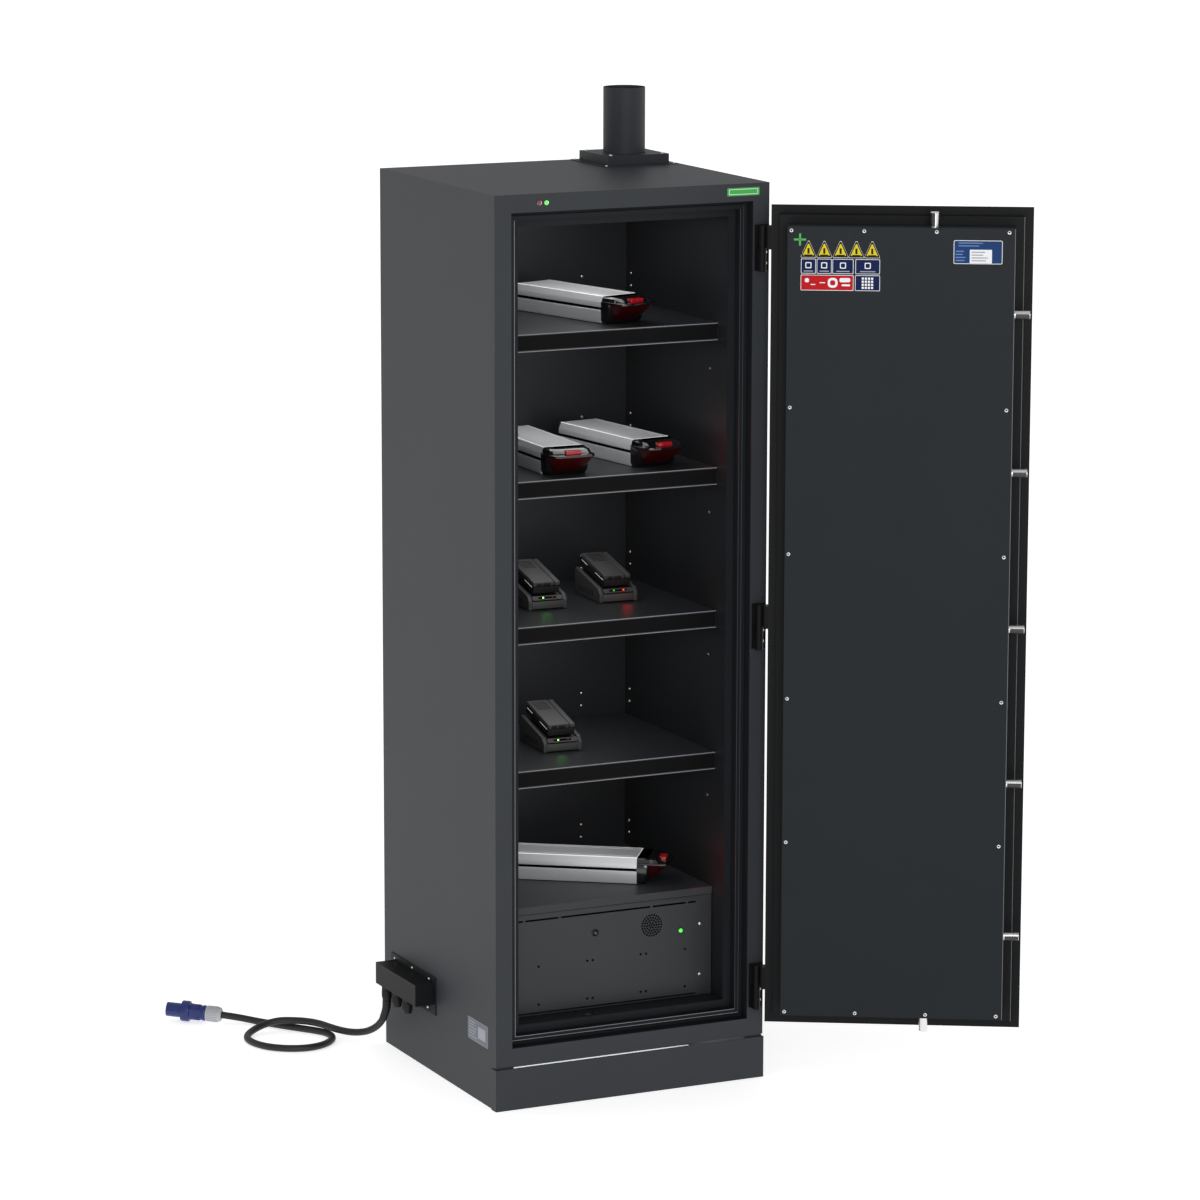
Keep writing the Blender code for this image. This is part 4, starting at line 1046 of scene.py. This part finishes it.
def tool_battery(number, x, y, z, heading):
    dock = shifted(standing(x, y, z, heading), 0.0, DOCK_START, DOCK_H + 2 * GAP)
    place = dock @ Matrix.Rotation(DOCK_TILT, 4, "X")
    piece = Piece(f"tool_battery_{number}_detail")
    length = 0.138
    piece.box((-0.0316, 0.001, 0.0005), (0.0316, length - 0.001, 0.0165), PLASTIC, place, 0.003, 3)
    # A near-black band in the seam between the halves: painted shade.
    piece.box((-0.03, 0.0025, 0.014), (0.03, length - 0.003, 0.019), RECESS_SHADE, place, 0.001)
    piece.box((-0.0318, 0.0004, 0.0175), (0.0176, length - 0.0006, 0.0277), TOOL_GREY, place, 0.0026, 3)
    piece.box((0.0191, 0.0006, 0.0175), (0.0318, length - 0.001, 0.027), TOOL_GREY, place, 0.0026, 3)
    piece.box((0.016, 0.003, 0.0175), (0.0207, length - 0.004, 0.0245), PLASTIC, place, 0.0006)
    for low_x, high_x in ((-0.024, -0.011), (-0.008, 0.0095)):
        piece.box((low_x, -0.0001, 0.0185), (high_x, 0.004, 0.0255), PLASTIC, place, 0.0012)
    for side in (-1, 1):
        clip = sorted((side * 0.031, side * 0.0319))
        for start, end in ((0.008, 0.052), (0.098, 0.13)):
            # Glowing strips along the clips: painted highlights.
            piece.box((clip[0], start, 0.0142), (clip[1], end, 0.0152), EDGE_GLINT, place, 0.0003)
        for i in range(5):
            low = (clip[0], 0.06 + 0.007 * i, 0.0045)
            piece.box(low, (clip[1], 0.064 + 0.007 * i, 0.013), PLASTIC, place, 0.0003)
    for i in range(6):
        y_rib = 0.085 + 0.0075 * i
        piece.box((-0.0235, y_rib, 0.027), (0.0095, y_rib + 0.003, 0.028), PLASTIC, place, 0.0003)
    piece.finish(f"tool_battery_body_{number}", [f"tool_battery_{number}"])


# --- lock furniture


def handle():
    """The lever with its hub and spindle, and the face of the lock above it."""
    piece = Piece("handle_detail")
    x = -0.215
    z = 1.12
    out = DOOR @ facing((x, FRONT, z), AHEAD)
    hub = ((0.0, 0.0199), (0.0098, 0.0199), (0.0118, 0.019))
    hub += ((0.0124, 0.0165), (0.0124, 0.0093), (0.0, 0.0093))
    piece.lathe(hub, POWDER, out, 40)
    piece.lathe(((0.0, 0.021), (0.004, 0.0208), (0.0055, 0.02), (0.0055, 0.019)), ZINC, out, 24)
    spindle = ((0.0, 0.0), (0.0049, 0.0), (0.0049, -0.0395), (0.0, -0.0395))
    piece.lathe(spindle, STEEL, out, 24)
    middle = FRONT - 0.0155
    rings = []
    for step in range(13):
        share = step / 12
        ends = 0.35 if share in (0.0, 1.0) else 1.0
        half_w = ends * (0.0106 - 0.0022 * share)
        half_d = ends * 0.0049 * (1 - 0.18 * share)
        drop = z - 0.004 - 0.1255 * share
        ring = []
        for i in range(20):
            angle = 2 * math.pi * i / 20
            across = math.copysign(abs(math.cos(angle)) ** 0.6, math.cos(angle))
            deep = math.copysign(abs(math.sin(angle)) ** 0.6, math.sin(angle))
            ring.append((x + half_w * across, middle + half_d * deep, drop))
        rings.append(ring)
    piece.loft(rings, POWDER, DOOR)
    piece.finish("handle", ["handle_lever"])
    key = Piece("lock_face")
    face = DOOR @ facing((x, FRONT - 0.005, 1.2), AHEAD)
    key.lathe(((0.0, 0.0012), (0.008, 0.0012), (0.0086, 0.0006), (0.0086, 0.0)), BRASS, face, 32)
    # A near-black keyhole: painted shade.
    key.prism(rounded_outline(0.0011, 0.0045, 0.001), 0.0009, 0.0014, RECESS_SHADE, face)
    key.finish("door")


# --- stage

BAY_POWERS = (0.32, 0.55, 0.52, 0.66, 0.72)
RED_SPILL = (1.0, 0.05, 0.06)


def studio():
    bpy.context.scene.view_settings.view_transform = "Standard"
    world = bpy.data.worlds.new("studio")
    bpy.context.scene.world = world
    world.use_nodes = True
    sky = world.node_tree.nodes["Background"]
    sky.inputs["Color"].default_value = (1.0, 1.0, 1.0, 1.0)
    sky.inputs["Strength"].default_value = 0.58
    floor = Piece("floor_sheet")
    pale = surface("pale_floor", (0.93, 0.93, 0.93), 0.8, mottle=0.01)
    shader = pale.node_tree.nodes["Principled BSDF"]
    shader.inputs["Emission Color"].default_value = (1.0, 1.0, 1.0, 1.0)
    shader.inputs["Emission Strength"].default_value = 0.6
    floor.box((-70, -70, -0.02), (70, 70, 0.0), pale)
    mesh = bpy.data.meshes.new("floor_sheet")
    floor.mesh.to_mesh(mesh)
    mesh.materials.append(pale)
    added("floor_sheet", mesh)


def lamp_at(name, kind, place, power, colour):
    data = bpy.data.lights.new(name, kind)
    data.energy = power
    data.color = colour
    lamp = added(name, data)
    lamp.location = place
    return lamp


def area_light(name, place, aim, size, power, colour=(1.0, 1.0, 1.0)):
    lamp = lamp_at(name, "AREA", place, power, colour)
    lamp.data.shape = "RECTANGLE"
    lamp.data.size = size[0]
    lamp.data.size_y = size[1]
    lamp.rotation_euler = (Vector(aim) - Vector(place)).to_track_quat("-Z", "Y").to_euler()
    lamp.visible_camera = False


def bay_lights():
    """A soft light under the roof of each bay."""
    middle = FRONT + 0.3
    roofs = (UNIT_TOP + 0.262, *(top + 0.272 for top in SHELF_TOPS[:3]), TOP - 0.081)
    for number, (roof, power) in enumerate(zip(roofs, BAY_POWERS)):
        area_light(f"bay_{number}", (-0.03, middle, roof), (-0.03, middle, 0.0), (0.34, 0.3), power)


def glows():
    """Coloured spill from the chargers' lamps on the shelf, and from the pack lamps on the right wall."""
    for number, (x, y, z, heading) in enumerate(CHARGERS, start=1):
        red = number == RED_CHARGER
        spot = standing(x, y, z, heading) @ Vector((LED_OFFSETS[red], -0.02, 0.012))
        colour = (1.0, 0.02, 0.02) if red else (0.15, 1.0, 0.1)
        lamp = lamp_at(f"charge_glow_{number}", "POINT", spot, 0.004 if red else 0.0014, colour)
        lamp.data.shadow_soft_size = 0.012
    for number, z in enumerate((UNIT_TOP + 0.055, SHELF_TOPS[2] + 0.06), start=1):
        wall = Vector((LINER_X, FRONT + 0.085, z))
        away = Vector((0.05, 0.0, 0.0))
        area_light(f"wall_glow_{number}", wall - away, wall, (0.04, 0.13), 0.022, RED_SPILL)


def camera():
    azimuth = math.radians(25.542)
    pitch = math.radians(10.892)
    roll = math.radians(0.1214)
    level = math.cos(pitch)
    forward = Vector((math.sin(azimuth) * level, math.cos(azimuth) * level, -math.sin(pitch)))
    right = Vector((math.cos(azimuth), -math.sin(azimuth), 0.0))
    up = right.cross(forward)
    rolled_right = math.cos(roll) * right + math.sin(roll) * up
    rolled_up = math.cos(roll) * up - math.sin(roll) * right
    data = bpy.data.cameras.new("camera")
    data.sensor_width = 36.0
    data.lens = 148.886
    data.clip_end = 60.0
    eye = added("camera", data)
    turn = Matrix((rolled_right, rolled_up, -forward)).transposed().to_4x4()
    eye.matrix_world = Matrix.Translation((-4.59744, -9.76517, 3.13012)) @ turn
    bpy.context.scene.camera = eye


def main():
    camera()
    studio()
    cord()
    dress_cabinet()
    shelf_front_shades()
    highlight_lines()
    door_face()
    strap_painted_light()
    glands()
    door_screws()
    bolt_shades()
    wall_screws()
    door_labels()
    side_label()
    front_badge()
    status_lamps()
    hinge_screws()
    inlet_screws()
    exhaust_screws()
    service_cover()
    unit_fittings()
    handle()
    for number, row in enumerate(PACKS, start=1):
        battery_pack(number, *row)
    for number, row in enumerate(CHARGERS, start=1):
        charger(number, *row)
        tool_battery(number, *row)
    # A broad soft light from the front left, and a little light in the plinth's tunnel
    area_light("key", (-2.2, -7.8, 3.1), (0.0, 0.0, 1.0), (3.0, 3.0), 150)
    area_light("under", (0.0, -0.1, 0.094), (0.0, -0.1, 0.0), (0.54, 0.2), 0.5)
    bay_lights()
    glows()


main()
